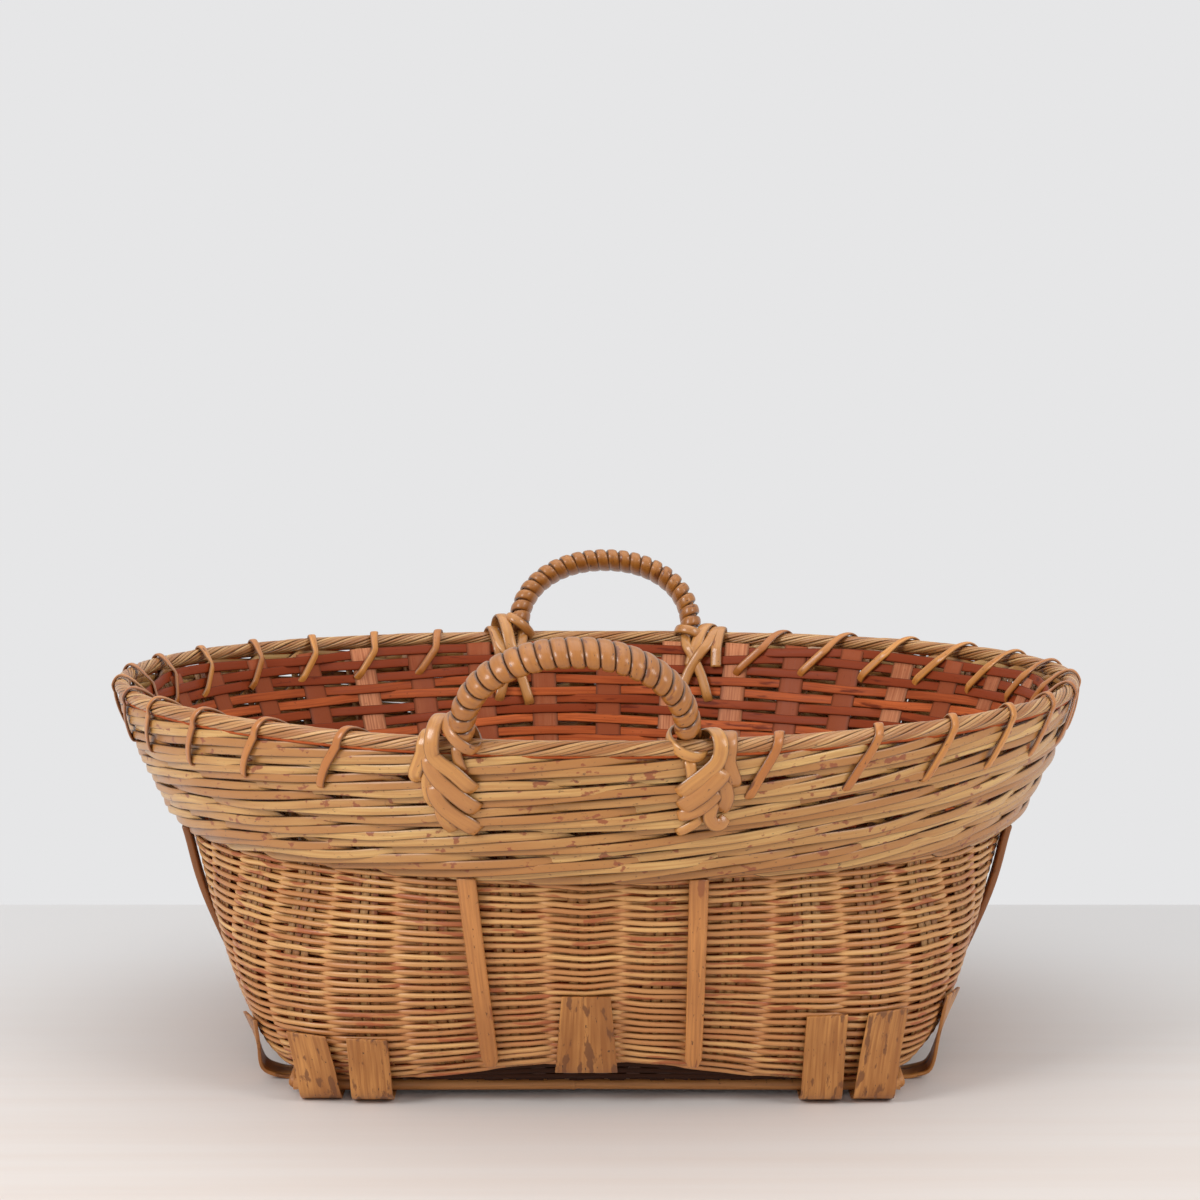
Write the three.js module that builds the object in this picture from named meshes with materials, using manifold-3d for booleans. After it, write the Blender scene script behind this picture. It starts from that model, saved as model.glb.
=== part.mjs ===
// A two-handled rattan basket: a woven bowl with a rounded square foot that opens to an oval rim.
// Millimetres, +Z up, front at -Y. The origin is at the middle of the footprint, on the floor.
import * as THREE from "three";
import { mergeVertices } from "three/addons/utils/BufferGeometryUtils.js";
import Module from "manifold-3d";

const wasm = await Module();
wasm.setup();

// Outline of the bowl, measured to the outside of the stakes
const footHalfWidth = 151;
const footHalfDepth = 148;
const rimHalfWidth = 222;
const rimHalfDepth = 195;
const wallFoot = 10.5;
const wallTop = 169.5;
const wallBelly = 0.1;
const footCurl = 3;
const footCurlHeight = 16;
const footSquareness = 5;
const rimSquareness = 2;
const ovalHeight = 110;
const rimSway = 2;
const swayAngle = 0;

// Woven layers
const fit = 0.3;
const bodyWall = 4;
const liningWall = 2;
const liningGap = 0.7;
const bandBottom = 105;
const bandFootEdge = 2;
const bandRimEdge = 7;
const bandBulge = 4;
const footArch = 11.5;
const footDip = 3.5;
const matThickness = 2.5;
const matInset = 6;
const wallSides = 48;

// Stakes that the weave runs through, evenly spaced round the bowl at one height. The wall stands
// out over them, and between them it lies lower outside and inside
const stakeCount = 36;
const stakeWidth = 13.5;
const stakeHeight = 75;
const firstStake = -5.6;
const weaveFlute = 1.4;
const liningFlute = 0.8;

// Rim bundle and the cane strip that winds round it
const rollRadius = 3.4;
const rollShift = 3;
const rollSeat = 0.5;
const laceWidth = 4;
const laceThickness = 1.3;
const laceDepth = 27;
const laceLoops = 13;
const laceClearance = 1.6;
const laceSlack = 2.4;
const slotClearance = 0.8;
const slotReach = 40;

// Handles
const handleSpan = 93;
const handleHeight = 37;
const handleLean = (23 * Math.PI) / 180;
const frontHandleShift = -9;
const rearHandleShift = 4;
const archSquareness = 2.1;
const coreAcross = 7;
const coreDeep = 13.4;
const wrapWidth = 5.2;
const wrapThickness = 1.3;
const wrapLoops = 18;
const wrapSteps = 12;
const wrapSlack = 0.55;

// Knots that tie the handle ends to the rim
const knotWidth = 28;
const knotShift = 7;
const knotThickness = 2.2;
const knotOutside = 42;
const knotInside = 30;
const knotLaceGap = 9;
const knotClearance = 0.8;

// Staves, foot straps and tongues on the outside of the bowl
const slatLift = 0.4;
const staveWidth = 8.2;
const staveFootWidth = 6.4;
const staveThickness = 3;
const staveFoot = 20;
const leftStaveInset = 9.5;
const rightStaveInset = 1.5;
const endStaveInset = 5;
const staveSpan = 98;
const staveShift = 3;
const strapWidth = 18;
const strapThickness = 1.6;
const leftStrapTop = 31;
const rightStrapTop = 42;
const strapCornerInset = 25;
const strapNextInset = 52;
const strapEndInset = 36;
const strapCornerDraw = 6;
const strapNextDraw = 1.8;
const strapEndDraw = 17;
const strapToe = 2;
const strapHeel = 1;
const strapKnee = 6;
const strapKneeInset = 1;
const strapUnder = 22;
const tongueTop = 52;
const tongueFoot = 16;
const tongueTopWidth = 21;
const tongueFootWidth = 27;
const tongueThickness = 1.6;

// Bamboo runners under the mat
const runnerRadius = 2.6;
const runnerInset = 18;

const rollCentre = wallTop - bodyWall + rollSeat;
const bandTop = rollCentre - rollRadius - fit;
const bandSpan = rollCentre - bandBottom;
const turn = 2 * Math.PI;

const colours = {
  weave: { color: 0xc9a066, roughness: 0.6 },
  band: { color: 0xcda465, roughness: 0.5 },
  lining: { color: 0x96462a, roughness: 0.7 },
  rim: { color: 0xc8a478, roughness: 0.75 },
  cane: { color: 0xbe7d3c, roughness: 0.35 },
  core: { color: 0x9a6a3a, roughness: 0.7 },
  strap: { color: 0x966437, roughness: 0.55 },
  stave: { color: 0xc3874b, roughness: 0.45 },
  bamboo: { color: 0xa06e41, roughness: 0.5 },
};

const basket = new THREE.Group();

function addPiece(name, geometry, look) {
  const material = new THREE.MeshStandardMaterial({ ...colours[look], metalness: 0 });
  const mesh = new THREE.Mesh(geometry, material);
  mesh.name = name;
  basket.add(mesh);
}

// Share of the way from the foot outline to the rim outline at height z
function spread(z) {
  const s = (z - wallFoot) / (wallTop - wallFoot);
  return s * (1 + wallBelly * (1 - s));
}

// Outline of the bowl at height z: half width, half depth and squareness of its rounded shape
function outline(z, offset = 0) {
  const open = spread(z);
  const rounding = THREE.MathUtils.smoothstep(z, wallFoot, ovalHeight);
  const curl = footCurl * Math.max(1 - (z - wallFoot) / footCurlHeight, 0) ** 2;
  return {
    a: footHalfWidth + (rimHalfWidth - footHalfWidth) * open + offset - curl,
    b: footHalfDepth + (rimHalfDepth - footHalfDepth) * open + offset - curl,
    n: footSquareness + (rimSquareness - footSquareness) * rounding,
  };
}

function wallPoint(angle, z, offset = 0) {
  const { a, b, n } = outline(z, offset);
  const c = Math.cos(angle);
  const s = Math.sin(angle);
  const r = (Math.abs(c / a) ** n + Math.abs(s / b) ** n) ** (-1 / n);
  return new THREE.Vector3(r * c, r * s, z);
}

// Handmade rise and fall of the rim
function rimRise(angle) {
  return rimSway * Math.cos(2 * (angle - swayAngle));
}

// Height on the upper wall: zero at the foot of the band, one at its top edge
function bandHeight(angle, share) {
  return bandBottom + share * (bandTop + rimRise(angle) - bandBottom);
}

function bandOffset(share) {
  const s = THREE.MathUtils.clamp(share, 0, 1);
  return bandFootEdge + s * (bandRimEdge - bandFootEdge) + bandBulge * Math.sin(Math.PI * s);
}

// A solid through a row of rings that all have the same number of points
function loft(rings, isLoop) {
  const count = rings[0].length;
  const points = rings.flat();
  const positions = points.flatMap((p) => [p.x, p.y, p.z]);
  const index = [];
  const last = isLoop ? rings.length : rings.length - 1;
  for (let i = 0; i < last; i++) {
    const here = i * count;
    const next = ((i + 1) % rings.length) * count;
    for (let j = 0; j < count; j++) {
      const k = (j + 1) % count;
      const corners = [here + j, here + k, next + k, next + j];
      index.push(...splitQuad(corners, points));
    }
  }
  if (!isLoop) {
    const start = capOf(rings[0]);
    start.forEach(([p, q, r]) => index.push(p, r, q));
    const shift = (rings.length - 1) * count;
    start.forEach(([p, q, r]) => index.push(shift + p, shift + q, shift + r));
  }
  const geometry = new THREE.BufferGeometry();
  geometry.setAttribute("position", new THREE.Float32BufferAttribute(positions, 3));
  geometry.setIndex(index);
  return volumeOf(geometry) < 0 ? turnedOut(geometry) : geometry;
}

// Two triangles for a four-cornered patch, split along its shorter diagonal
function splitQuad([a, b, c, d], points) {
  const isFirst = points[a].distanceTo(points[c]) <= points[b].distanceTo(points[d]);
  return isFirst ? [a, b, c, a, c, d] : [a, b, d, b, c, d];
}

// Triangles that close one ring, worked out in the ring's own plane
function capOf(ring) {
  const normal = new THREE.Vector3();
  ring.forEach((p, i) => normal.add(p.clone().cross(ring[(i + 1) % ring.length])));
  normal.normalize();
  const side = ring[1].clone().sub(ring[0]).normalize();
  const up = normal.clone().cross(side);
  const flat = ring.map((p) => new THREE.Vector2(p.dot(side), p.dot(up)));
  return THREE.ShapeUtils.triangulateShape(flat, []);
}

function corner(geometry, i) {
  const { position } = geometry.attributes;
  return new THREE.Vector3().fromBufferAttribute(position, geometry.index.array[i]);
}

function volumeOf(geometry) {
  let six = 0;
  for (let i = 0; i < geometry.index.count; i += 3) {
    six += corner(geometry, i).dot(corner(geometry, i + 1).cross(corner(geometry, i + 2)));
  }
  return six / 6;
}

function turnedOut(geometry) {
  geometry.setIndex([...geometry.index.array].reverse());
  return geometry;
}

function solidOf(geometry) {
  const bare = geometry.clone();
  bare.deleteAttribute("normal");
  bare.deleteAttribute("uv");
  const merged = mergeVertices(bare, 1e-4);
  const vertProperties = new Float32Array(merged.attributes.position.array);
  const triVerts = new Uint32Array(merged.index.array);
  return new wasm.Manifold(new wasm.Mesh({ numProp: 3, vertProperties, triVerts }));
}

function geometryOf(solid) {
  const mesh = solid.getMesh();
  const geometry = new THREE.BufferGeometry();
  geometry.setAttribute("position", new THREE.BufferAttribute(mesh.vertProperties, 3));
  geometry.setIndex(new THREE.BufferAttribute(mesh.triVerts, 1));
  return geometry;
}

// Places round the bowl at the two edges of each stake, and half way to the next, where the wall is sunk
function stakeStops() {
  const samples = 1440;
  const start = Math.atan2(-outline(stakeHeight).b, firstStake);
  const angles = Array.from({ length: samples + 1 }, (_, i) => start + (i / samples) * turn);
  const points = angles.map((angle) => wallPoint(angle, stakeHeight));
  const passed = [0];
  for (let i = 1; i <= samples; i++) {
    passed.push(passed[i - 1] + points[i].distanceTo(points[i - 1]));
  }
  const total = passed[samples];
  const angleAt = (distance) => {
    const along = (distance + total) % total;
    const i = passed.findIndex((length) => length > along);
    const share = (along - passed[i - 1]) / (passed[i] - passed[i - 1]);
    return angles[i - 1] + share * (angles[i] - angles[i - 1]);
  };
  const spacing = total / stakeCount;
  return Array.from({ length: stakeCount }, (_, i) => [
    { angle: angleAt(i * spacing - stakeWidth / 2), sunk: 0 },
    { angle: angleAt(i * spacing + stakeWidth / 2), sunk: 0 },
    { angle: angleAt((i + 0.5) * spacing), sunk: 1 },
  ]).flat();
}

const wovenStops = stakeStops();

// A shell of the wall that goes round the bowl: profile(angle, sunk) gives its closed section
function shell(profile) {
  return loft(wovenStops.map(({ angle, sunk }) => profile(angle, sunk)), true);
}

// Heights of the lower wall's rows, from its arched foot edge up to the band
function lowerHeights(angle) {
  const foot = wallFoot + 4 * fit - footDip + footArch * Math.cos(2 * angle) ** 2;
  const top = bandBottom - fit;
  return [0, 0.17, 0.35, 0.55, 0.77, 1].map((share) => foot + share * (top - foot));
}

// Lower wall: the fine weave, from its foot edge up to the band. That edge is arched on each side,
// and at the corners it dips past the mat
function bodyWeave() {
  return shell((angle, sunk) => {
    const heights = lowerHeights(angle);
    const outside = heights.map((z) => wallPoint(angle, z, -sunk * weaveFlute));
    const inside = heights.map((z) => wallPoint(angle, z, -bodyWall)).reverse();
    return [...outside, ...inside];
  });
}

// Inner layer of wide splints, from the mat to the rim bundle
function liningShell() {
  const outer = -bodyWall - liningGap;
  return shell((angle, sunk) => {
    const inner = outer - liningWall + sunk * liningFlute;
    const upper = [0.5, 1].map((share) => bandHeight(angle, share));
    const heights = [wallFoot + fit, ...lowerHeights(angle).slice(1), ...upper];
    const outside = heights.map((z) => wallPoint(angle, z, outer));
    const inside = heights.map((z) => wallPoint(angle, z, inner)).reverse();
    return [...outside, ...inside];
  });
}

// Upper wall: the thick band of rods, swelling outwards between its two edges
function bandShell() {
  const shares = [0, 0.25, 0.5, 0.75, 1];
  return shell((angle) => {
    const outside = shares.map((s) => wallPoint(angle, bandHeight(angle, s), bandOffset(s)));
    const inside = [1, 0.5, 0].map((s) => wallPoint(angle, bandHeight(angle, s), -bodyWall));
    return [...outside, ...inside];
  });
}

function rollShell() {
  const sides = 8;
  const rings = Array.from({ length: wallSides }, (_, k) => {
    const angle = (k / wallSides) * turn;
    const middle = rollCentre + rimRise(angle);
    return Array.from({ length: sides }, (_, i) => {
      const t = ((i + 0.5) / sides) * turn;
      const point = wallPoint(angle, middle, rollShift + rollRadius * Math.cos(t));
      point.z += rollRadius * Math.sin(t);
      return point;
    });
  });
  return loft(rings, true);
}

// Floor of the basket, a flat woven mat inside the foot of the weave
function matSlab() {
  const top = wallFoot;
  const edges = [top - matThickness, top].map((z) =>
    Array.from({ length: wallSides }, (_, i) => {
      const point = wallPoint((i / wallSides) * turn, wallFoot, -matInset);
      point.z = z;
      return point;
    }),
  );
  return loft(edges, false);
}

// One loop of the lace, point by point: offset from the wall, height from the rim, share of a pitch
function laceLoop() {
  const low = rollRadius - laceDepth;
  const outsideAt = (height) => bandOffset(1 + height / bandSpan) + laceClearance;
  const crest = rollRadius + laceClearance;
  const inside = -bodyWall - liningGap - liningWall - laceSlack;
  return [
    { offset: outsideAt(low), height: low, share: 0 },
    { offset: outsideAt(low * 0.66), height: low * 0.66, share: 0.12 },
    { offset: outsideAt(low * 0.33), height: low * 0.33, share: 0.24 },
    { offset: rollShift + crest, height: -0.2 * rollRadius, share: 0.3 },
    { offset: rollShift + 0.7 * crest, height: 0.75 * crest, share: 0.33 },
    { offset: rollShift, height: crest, share: 0.36 },
    { offset: rollShift - 0.95 * crest, height: 0.55 * crest, share: 0.42 },
    { offset: inside, height: -rollRadius, share: 0.5 },
    { offset: inside, height: low * 0.45, share: 0.66 },
    { offset: inside, height: low * 0.75, share: 0.84 },
    { offset: inside, height: low, share: 1 },
  ];
}

function laceTurn(fromAngle, toAngle, share) {
  return fromAngle + (share / laceLoops) * (toAngle - fromAngle);
}

// Points of a strip that winds over the rim and through the wall
function lacePath(fromAngle, toAngle) {
  const stations = Array.from({ length: laceLoops }, (_, i) =>
    laceLoop().map((station) => ({ ...station, share: station.share + i })),
  );
  return stations.flat().map(({ offset, height, share }) => {
    const angle = laceTurn(fromAngle, toAngle, share);
    const middle = rollCentre + rimRise(angle);
    const point = wallPoint(angle, middle + Math.min(height, 0), offset);
    point.z = middle + height;
    return point;
  });
}

// Slots in the wall that the lace passes through from one loop to the next
function laceSlots(fromAngle, toAngle) {
  const low = rollRadius - laceDepth;
  const width = laceWidth + 2 * slotClearance;
  const height = laceThickness + 2 * slotClearance;
  const slots = [];
  for (let i = 1; i < laceLoops; i++) {
    const angle = laceTurn(fromAngle, toAngle, i);
    const middle = rollCentre + rimRise(angle);
    const centre = wallPoint(angle, middle + low);
    const slot = new THREE.BoxGeometry(width, slotReach, height);
    slot.rotateZ(angle - turn / 4);
    slot.translate(centre.x, centre.y, centre.z);
    slots.push(slot);
  }
  return slots;
}

// A flat strip along a row of points; its width lies near the direction that acrossAt(i) gives
function strip(points, width, thickness, acrossAt) {
  const rings = points.map((p, i) => {
    const before = points[Math.max(i - 1, 0)];
    const after = points[Math.min(i + 1, points.length - 1)];
    const ahead = after.clone().sub(before).normalize();
    const across = acrossAt(i).clone();
    across.addScaledVector(ahead, -across.dot(ahead)).normalize();
    const out = ahead.clone().cross(across);
    return stripSection(p, across.multiplyScalar(width / 2), out.multiplyScalar(thickness / 2));
  });
  return loft(rings, false);
}

function stripSection(p, across, out) {
  return [
    p.clone().add(across).add(out),
    p.clone().sub(across).add(out),
    p.clone().sub(across).sub(out),
    p.clone().add(across).sub(out),
  ];
}

// Least distance between points of a winding that are some steps or more apart, less its width
function leastGap(points, stepsApart, width) {
  let least = Infinity;
  points.forEach((p, i) => {
    for (let j = i + stepsApart; j < points.length; j++) {
      least = Math.min(least, p.distanceTo(points[j]));
    }
  });
  return least - width;
}

function laceAlong(fromAngle, toAngle) {
  const points = lacePath(fromAngle, toAngle);
  const along = (i) => {
    const p = points[i];
    return new THREE.Vector3(-p.y, p.x, 0).normalize();
  };
  return { points, geometry: strip(points, laceWidth, laceThickness, along) };
}

// Handle frame: where its middle stands on the rim, and the outward lean of its plane
function handleFrame(side, shift) {
  const rollY = (x) => {
    const { a, b, n } = outline(rollCentre, rollShift);
    return side * b * (1 - Math.abs(x / a) ** n) ** (1 / n);
  };
  const legs = [shift - handleSpan / 2, shift + handleSpan / 2];
  const y = (rollY(legs[0]) + rollY(legs[1])) / 2;
  const rises = legs.map((x) => rimRise(Math.atan2(y, x)));
  const z = rollCentre + Math.max(...rises) + rollRadius + knotClearance + knotThickness + fit;
  const up = new THREE.Vector3(0, side * Math.sin(handleLean), Math.cos(handleLean));
  const out = new THREE.Vector3(0, side * Math.cos(handleLean), -Math.sin(handleLean));
  return { foot: new THREE.Vector3(shift, y, z), up, out, legs };
}

function archPoint(frame, share) {
  const t = Math.PI * share;
  const c = Math.cos(t);
  const s = Math.sin(t);
  const power = 2 / archSquareness;
  const x = (-handleSpan / 2) * Math.sign(c) * Math.abs(c) ** power;
  const rise = handleHeight * Math.abs(s) ** power;
  const p = frame.foot.clone().addScaledVector(frame.up, rise);
  p.x += x;
  return p;
}

// Points evenly spaced along the arch of a handle
function archCurve(frame) {
  const points = Array.from({ length: 33 }, (_, i) => archPoint(frame, i / 32));
  return new THREE.CatmullRomCurve3(points, false, "chordal");
}

function archAxes(curve, frame, share) {
  const ahead = curve.getTangentAt(share);
  const across = frame.out.clone().cross(ahead).normalize();
  return { ahead, across, out: frame.out };
}

function handleCore(frame) {
  const curve = archCurve(frame);
  const steps = 20;
  const sides = 8;
  const rings = Array.from({ length: steps + 1 }, (_, i) => {
    const { across, out } = archAxes(curve, frame, i / steps);
    const middle = curve.getPointAt(i / steps);
    const isEnd = i === 0 || i === steps;
    return Array.from({ length: sides }, (__, j) => {
      const t = ((j + 0.5) / sides) * turn;
      const p = middle.clone().addScaledVector(across, (coreAcross / 2) * Math.cos(t));
      p.addScaledVector(out, (coreDeep / 2) * Math.sin(t));
      return isEnd ? p.addScaledVector(frame.up, (middle.z - p.z) / frame.up.z) : p;
    });
  });
  return loft(rings, false);
}

// One unbroken cane strip wound round a handle
function handleWrap(frame) {
  const curve = archCurve(frame);
  const length = curve.getLength();
  const tilt = (coreDeep / 2 + wrapSlack + wrapThickness) * Math.sin(handleLean);
  const margin = (wrapWidth / 2 + tilt) / length;
  const steps = wrapLoops * wrapSteps;
  const halfAcross = coreAcross / 2 + wrapSlack + wrapThickness / 2;
  const halfDeep = coreDeep / 2 + wrapSlack + wrapThickness / 2;
  const points = [];
  const along = [];
  for (let i = 0; i <= steps; i++) {
    const share = margin + (i / steps) * (1 - 2 * margin);
    const { ahead, across, out } = archAxes(curve, frame, share);
    const t = (i / wrapSteps) * turn;
    const p = curve.getPointAt(share).addScaledVector(across, halfAcross * Math.cos(t));
    points.push(p.addScaledVector(out, halfDeep * Math.sin(t)));
    along.push(ahead);
  }
  return { points, geometry: strip(points, wrapWidth, wrapThickness, (i) => along[i]) };
}

// A saddle of crossed cane over the rim, on both faces of the wall
function knotSaddle(middleAngle) {
  const inner = -bodyWall - liningGap - liningWall - knotClearance;
  const over = rollRadius + knotClearance;
  const onBand = (height, grow) => {
    const offset = bandOffset(1 + height / bandSpan) + knotClearance + grow;
    return { offset, height };
  };
  const face = (grow) => [
    onBand(-knotOutside, grow),
    onBand(-0.5 * bandSpan, grow),
    onBand(-0.25 * bandSpan, grow),
    { offset: rollShift + over + grow, height: -0.06 * bandSpan },
    { offset: rollShift + over + 0.8 * grow, height: 0.5 * over },
    { offset: rollShift + 0.5 * over, height: over + grow },
    { offset: rollShift - 0.6 * over, height: over + grow },
    { offset: inner - grow, height: -rollRadius },
    { offset: inner - grow, height: -knotInside },
  ];
  const profile = [...face(knotThickness), ...face(0).reverse()];
  const reach = knotWidth / 2 / wallPoint(middleAngle, rollCentre).length();
  const steps = 4;
  const rings = Array.from({ length: steps + 1 }, (_, i) => {
    const angle = middleAngle + reach * ((2 * i) / steps - 1);
    const middle = rollCentre + rimRise(angle);
    return profile.map(({ offset, height }) => {
      const point = wallPoint(angle, middle + Math.min(height, 0), offset);
      point.z = middle + height;
      return point;
    });
  });
  return loft(rings, false);
}

// The four sides of the bowl: outward direction, sideways direction, and which half size belongs to it
const faces = {
  front: { out: new THREE.Vector3(0, -1, 0), along: new THREE.Vector3(1, 0, 0) },
  rear: { out: new THREE.Vector3(0, 1, 0), along: new THREE.Vector3(1, 0, 0) },
  left: { out: new THREE.Vector3(-1, 0, 0), along: new THREE.Vector3(0, 1, 0) },
  right: { out: new THREE.Vector3(1, 0, 0), along: new THREE.Vector3(0, 1, 0) },
};

// How far the wall of a side stands out at a sideways place and height
function reachOut(side, place, z, offset = 0) {
  const { a, b, n } = outline(z, offset);
  const isEnd = side === "left" || side === "right";
  const [near, far] = isEnd ? [b, a] : [a, b];
  return far * (1 - Math.abs(place / near) ** n) ** (1 / n);
}

function sidePoint(side, place, reach, z) {
  const { out, along } = faces[side];
  const p = out.clone().multiplyScalar(reach).addScaledVector(along, place);
  p.z = z;
  return p;
}

// A flat piece lying on the outside of one side, from its foot up to its top
function slatOnSide(side, foot, top, thickness) {
  const rows = 6;
  const rings = Array.from({ length: rows + 1 }, (_, i) => {
    const s = i / rows;
    const z = foot.z + s * (top.z - foot.z);
    const place = foot.place + s * (top.place - foot.place);
    const half = (foot.width + s * (top.width - foot.width)) / 2;
    const ends = [place - half, place + half];
    const lift = fit + slatLift;
    const inner = ends.map((at) => sidePoint(side, at, reachOut(side, at, z, lift), z));
    const outer = ends.map((at) => sidePoint(side, at, reachOut(side, at, z, lift + thickness), z));
    return [inner[0], inner[1], outer[1], outer[0]];
  });
  return loft(rings, false);
}

// A wide splint that leaves the weave, runs down clear of it and bends under the mat
function footStrap(side, place, top, draw) {
  const mid = strapThickness / 2;
  const edge = outline(wallFoot);
  const isEnd = side === "left" || side === "right";
  const line = (isEnd ? edge.a : edge.b) + footCurl;
  const foot = line - runnerInset;
  const ends = [place - strapWidth / 2, place + strapWidth / 2];
  const [first, middle, last] = [ends[0], place, ends[1]].map((at) => reachOut(side, at, top, fit));
  const swell = Math.max(middle - (first + last) / 2, 0);
  const topReach = (first + last) / 2 + swell + fit + mid;
  const chord = sidePoint(side, ends[1], last, 0).sub(sidePoint(side, ends[0], first, 0)).normalize();
  const kneeReach = Math.min(topReach - strapToe, line - strapKneeInset);
  const route = [
    { reach: foot - strapUnder, z: mid, share: 1 },
    { reach: foot + strapToe, z: mid, share: 1 },
    { reach: (foot + strapToe + kneeReach) / 2 + strapHeel, z: mid + strapHeel, share: 1 },
    { reach: kneeReach, z: strapKnee, share: 0.9 },
    { reach: kneeReach + 0.5 * (topReach - kneeReach), z: (strapKnee + top) / 2, share: 0.5 },
    { reach: topReach, z: top, share: 0 },
  ];
  const points = route.map(({ reach, z, share }) => sidePoint(side, place - share * draw, reach, z));
  const across = (i) => faces[side].along.clone().lerp(chord, 1 - route[i].share);
  return strip(points, strapWidth, strapThickness, across);
}

function runner(side) {
  const isEnd = side === "left" || side === "right";
  const reach = (isEnd ? footHalfWidth : footHalfDepth) - runnerInset;
  const butt = footHalfDepth - runnerInset - runnerRadius - fit;
  const span = 2 * (isEnd ? butt : footHalfWidth - runnerInset);
  const rod = new THREE.CylinderGeometry(runnerRadius, runnerRadius, span, 10);
  if (!isEnd) {
    rod.rotateZ(Math.PI / 2);
  }
  const place = sidePoint(side, 0, reach, wallFoot - matThickness - fit - runnerRadius);
  rod.translate(place.x, place.y, place.z);
  return rod;
}

// Handles and the angles of their legs on the rim
const handles = [
  { name: "front", side: -1, shift: frontHandleShift },
  { name: "rear", side: 1, shift: rearHandleShift },
].map((handle) => {
  const frame = handleFrame(handle.side, handle.shift);
  const knots = [frame.legs[0] - knotShift, frame.legs[1] + knotShift];
  const angles = knots.map((x) => (Math.atan2(frame.foot.y, x) + turn) % turn);
  return { ...handle, frame, angles };
});

const knotHalfAngle = knotWidth / 2 / rimHalfDepth;
const laceMargin = knotHalfAngle + knotLaceGap / rimHalfDepth;
const [frontHandle, rearHandle] = handles;
const laceRuns = [
  { name: "left_rim_lacing", start: rearHandle.angles[0], end: frontHandle.angles[0] },
  { name: "right_rim_lacing", start: frontHandle.angles[1], end: turn + rearHandle.angles[1] },
].map(({ name, start, end }) => ({ name, from: start + laceMargin, to: end - laceMargin }));

const slots = laceRuns.flatMap(({ from, to }) => laceSlots(from, to)).map(solidOf);

function cutBySlots(geometry) {
  return geometryOf(slots.reduce((solid, slot) => solid.subtract(slot), solidOf(geometry)));
}

addPiece("base_mat", matSlab(), "weave");
addPiece("body_weave", bodyWeave(), "weave");
addPiece("inner_lining", cutBySlots(liningShell()), "lining");
addPiece("upper_band", cutBySlots(bandShell()), "band");
addPiece("rim_bundle", rollShell(), "rim");

laceRuns.forEach(({ name, from, to }) => {
  const lace = laceAlong(from, to);
  addPiece(name, lace.geometry, "cane");
  const gap = leastGap(lace.points, laceLoop().length - 3, laceWidth);
  console.log(`${name}: least gap to itself ${gap.toFixed(2)} mm`);
});

handles.forEach(({ name, frame, angles }) => {
  addPiece(`${name}_handle_core`, handleCore(frame), "core");
  const wrap = handleWrap(frame);
  addPiece(`${name}_handle_wrap`, wrap.geometry, "cane");
  const gap = leastGap(wrap.points, wrapSteps - 3, wrapWidth);
  console.log(`${name}_handle_wrap: least gap to itself ${gap.toFixed(2)} mm`);
  addPiece(`${name}_left_knot`, knotSaddle(angles[0]), "cane");
  addPiece(`${name}_right_knot`, knotSaddle(angles[1]), "cane");
});

const shifts = { front: frontHandleShift, rear: rearHandleShift, left: 0, right: 0 };
for (const [side, shift] of Object.entries(shifts)) {
  const isEnd = side === "left" || side === "right";
  const hands = shift ? { left: -1, right: 1 } : { front: -1, rear: 1 };
  for (const [label, hand] of Object.entries(hands)) {
    const place = shift + (shift ? staveShift : 0) + (hand * staveSpan) / 2;
    const frontInset = place * faces[side].out.y > 0 ? leftStaveInset : rightStaveInset;
    const inset = isEnd ? endStaveInset : frontInset;
    const foot = { place: place - hand * inset, z: staveFoot, width: staveFootWidth };
    const top = { place, z: bandBottom - 2 * fit, width: staveWidth };
    addPiece(`${side}_${label}_stave`, slatOnSide(side, foot, top, staveThickness), "stave");
    const strapTop = side === "left" || (side !== "right" && hand < 0) ? leftStrapTop : rightStrapTop;
    const strapPlace = isEnd ? footHalfDepth - strapEndInset : footHalfWidth - strapNextInset;
    const strapDraw = isEnd ? strapEndDraw : strapNextDraw;
    const strap = footStrap(side, hand * strapPlace, strapTop, hand * strapDraw);
    addPiece(`${side}_${label}_foot_strap`, strap, "strap");
    if (!isEnd) {
      const cornerPlace = hand * (footHalfWidth - strapCornerInset);
      const corner = footStrap(side, cornerPlace, strapTop, hand * strapCornerDraw);
      addPiece(`${side}_${label}_corner_strap`, corner, "strap");
    }
  }
  const foot = { place: shift / 2, z: tongueFoot, width: tongueFootWidth };
  const top = { place: shift / 2, z: tongueTop, width: tongueTopWidth };
  addPiece(`${side}_tongue`, slatOnSide(side, foot, top, tongueThickness), "strap");
  addPiece(`${side}_runner`, runner(side), "bamboo");
}

export default basket;
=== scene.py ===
# %% [markdown]
# A handled rattan basket. The CAD model gives its true size and the place of every part.
# This lesson dresses it: each woven part is remade strand by strand, in the space of its solid.

# %%  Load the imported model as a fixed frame
import math

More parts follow.
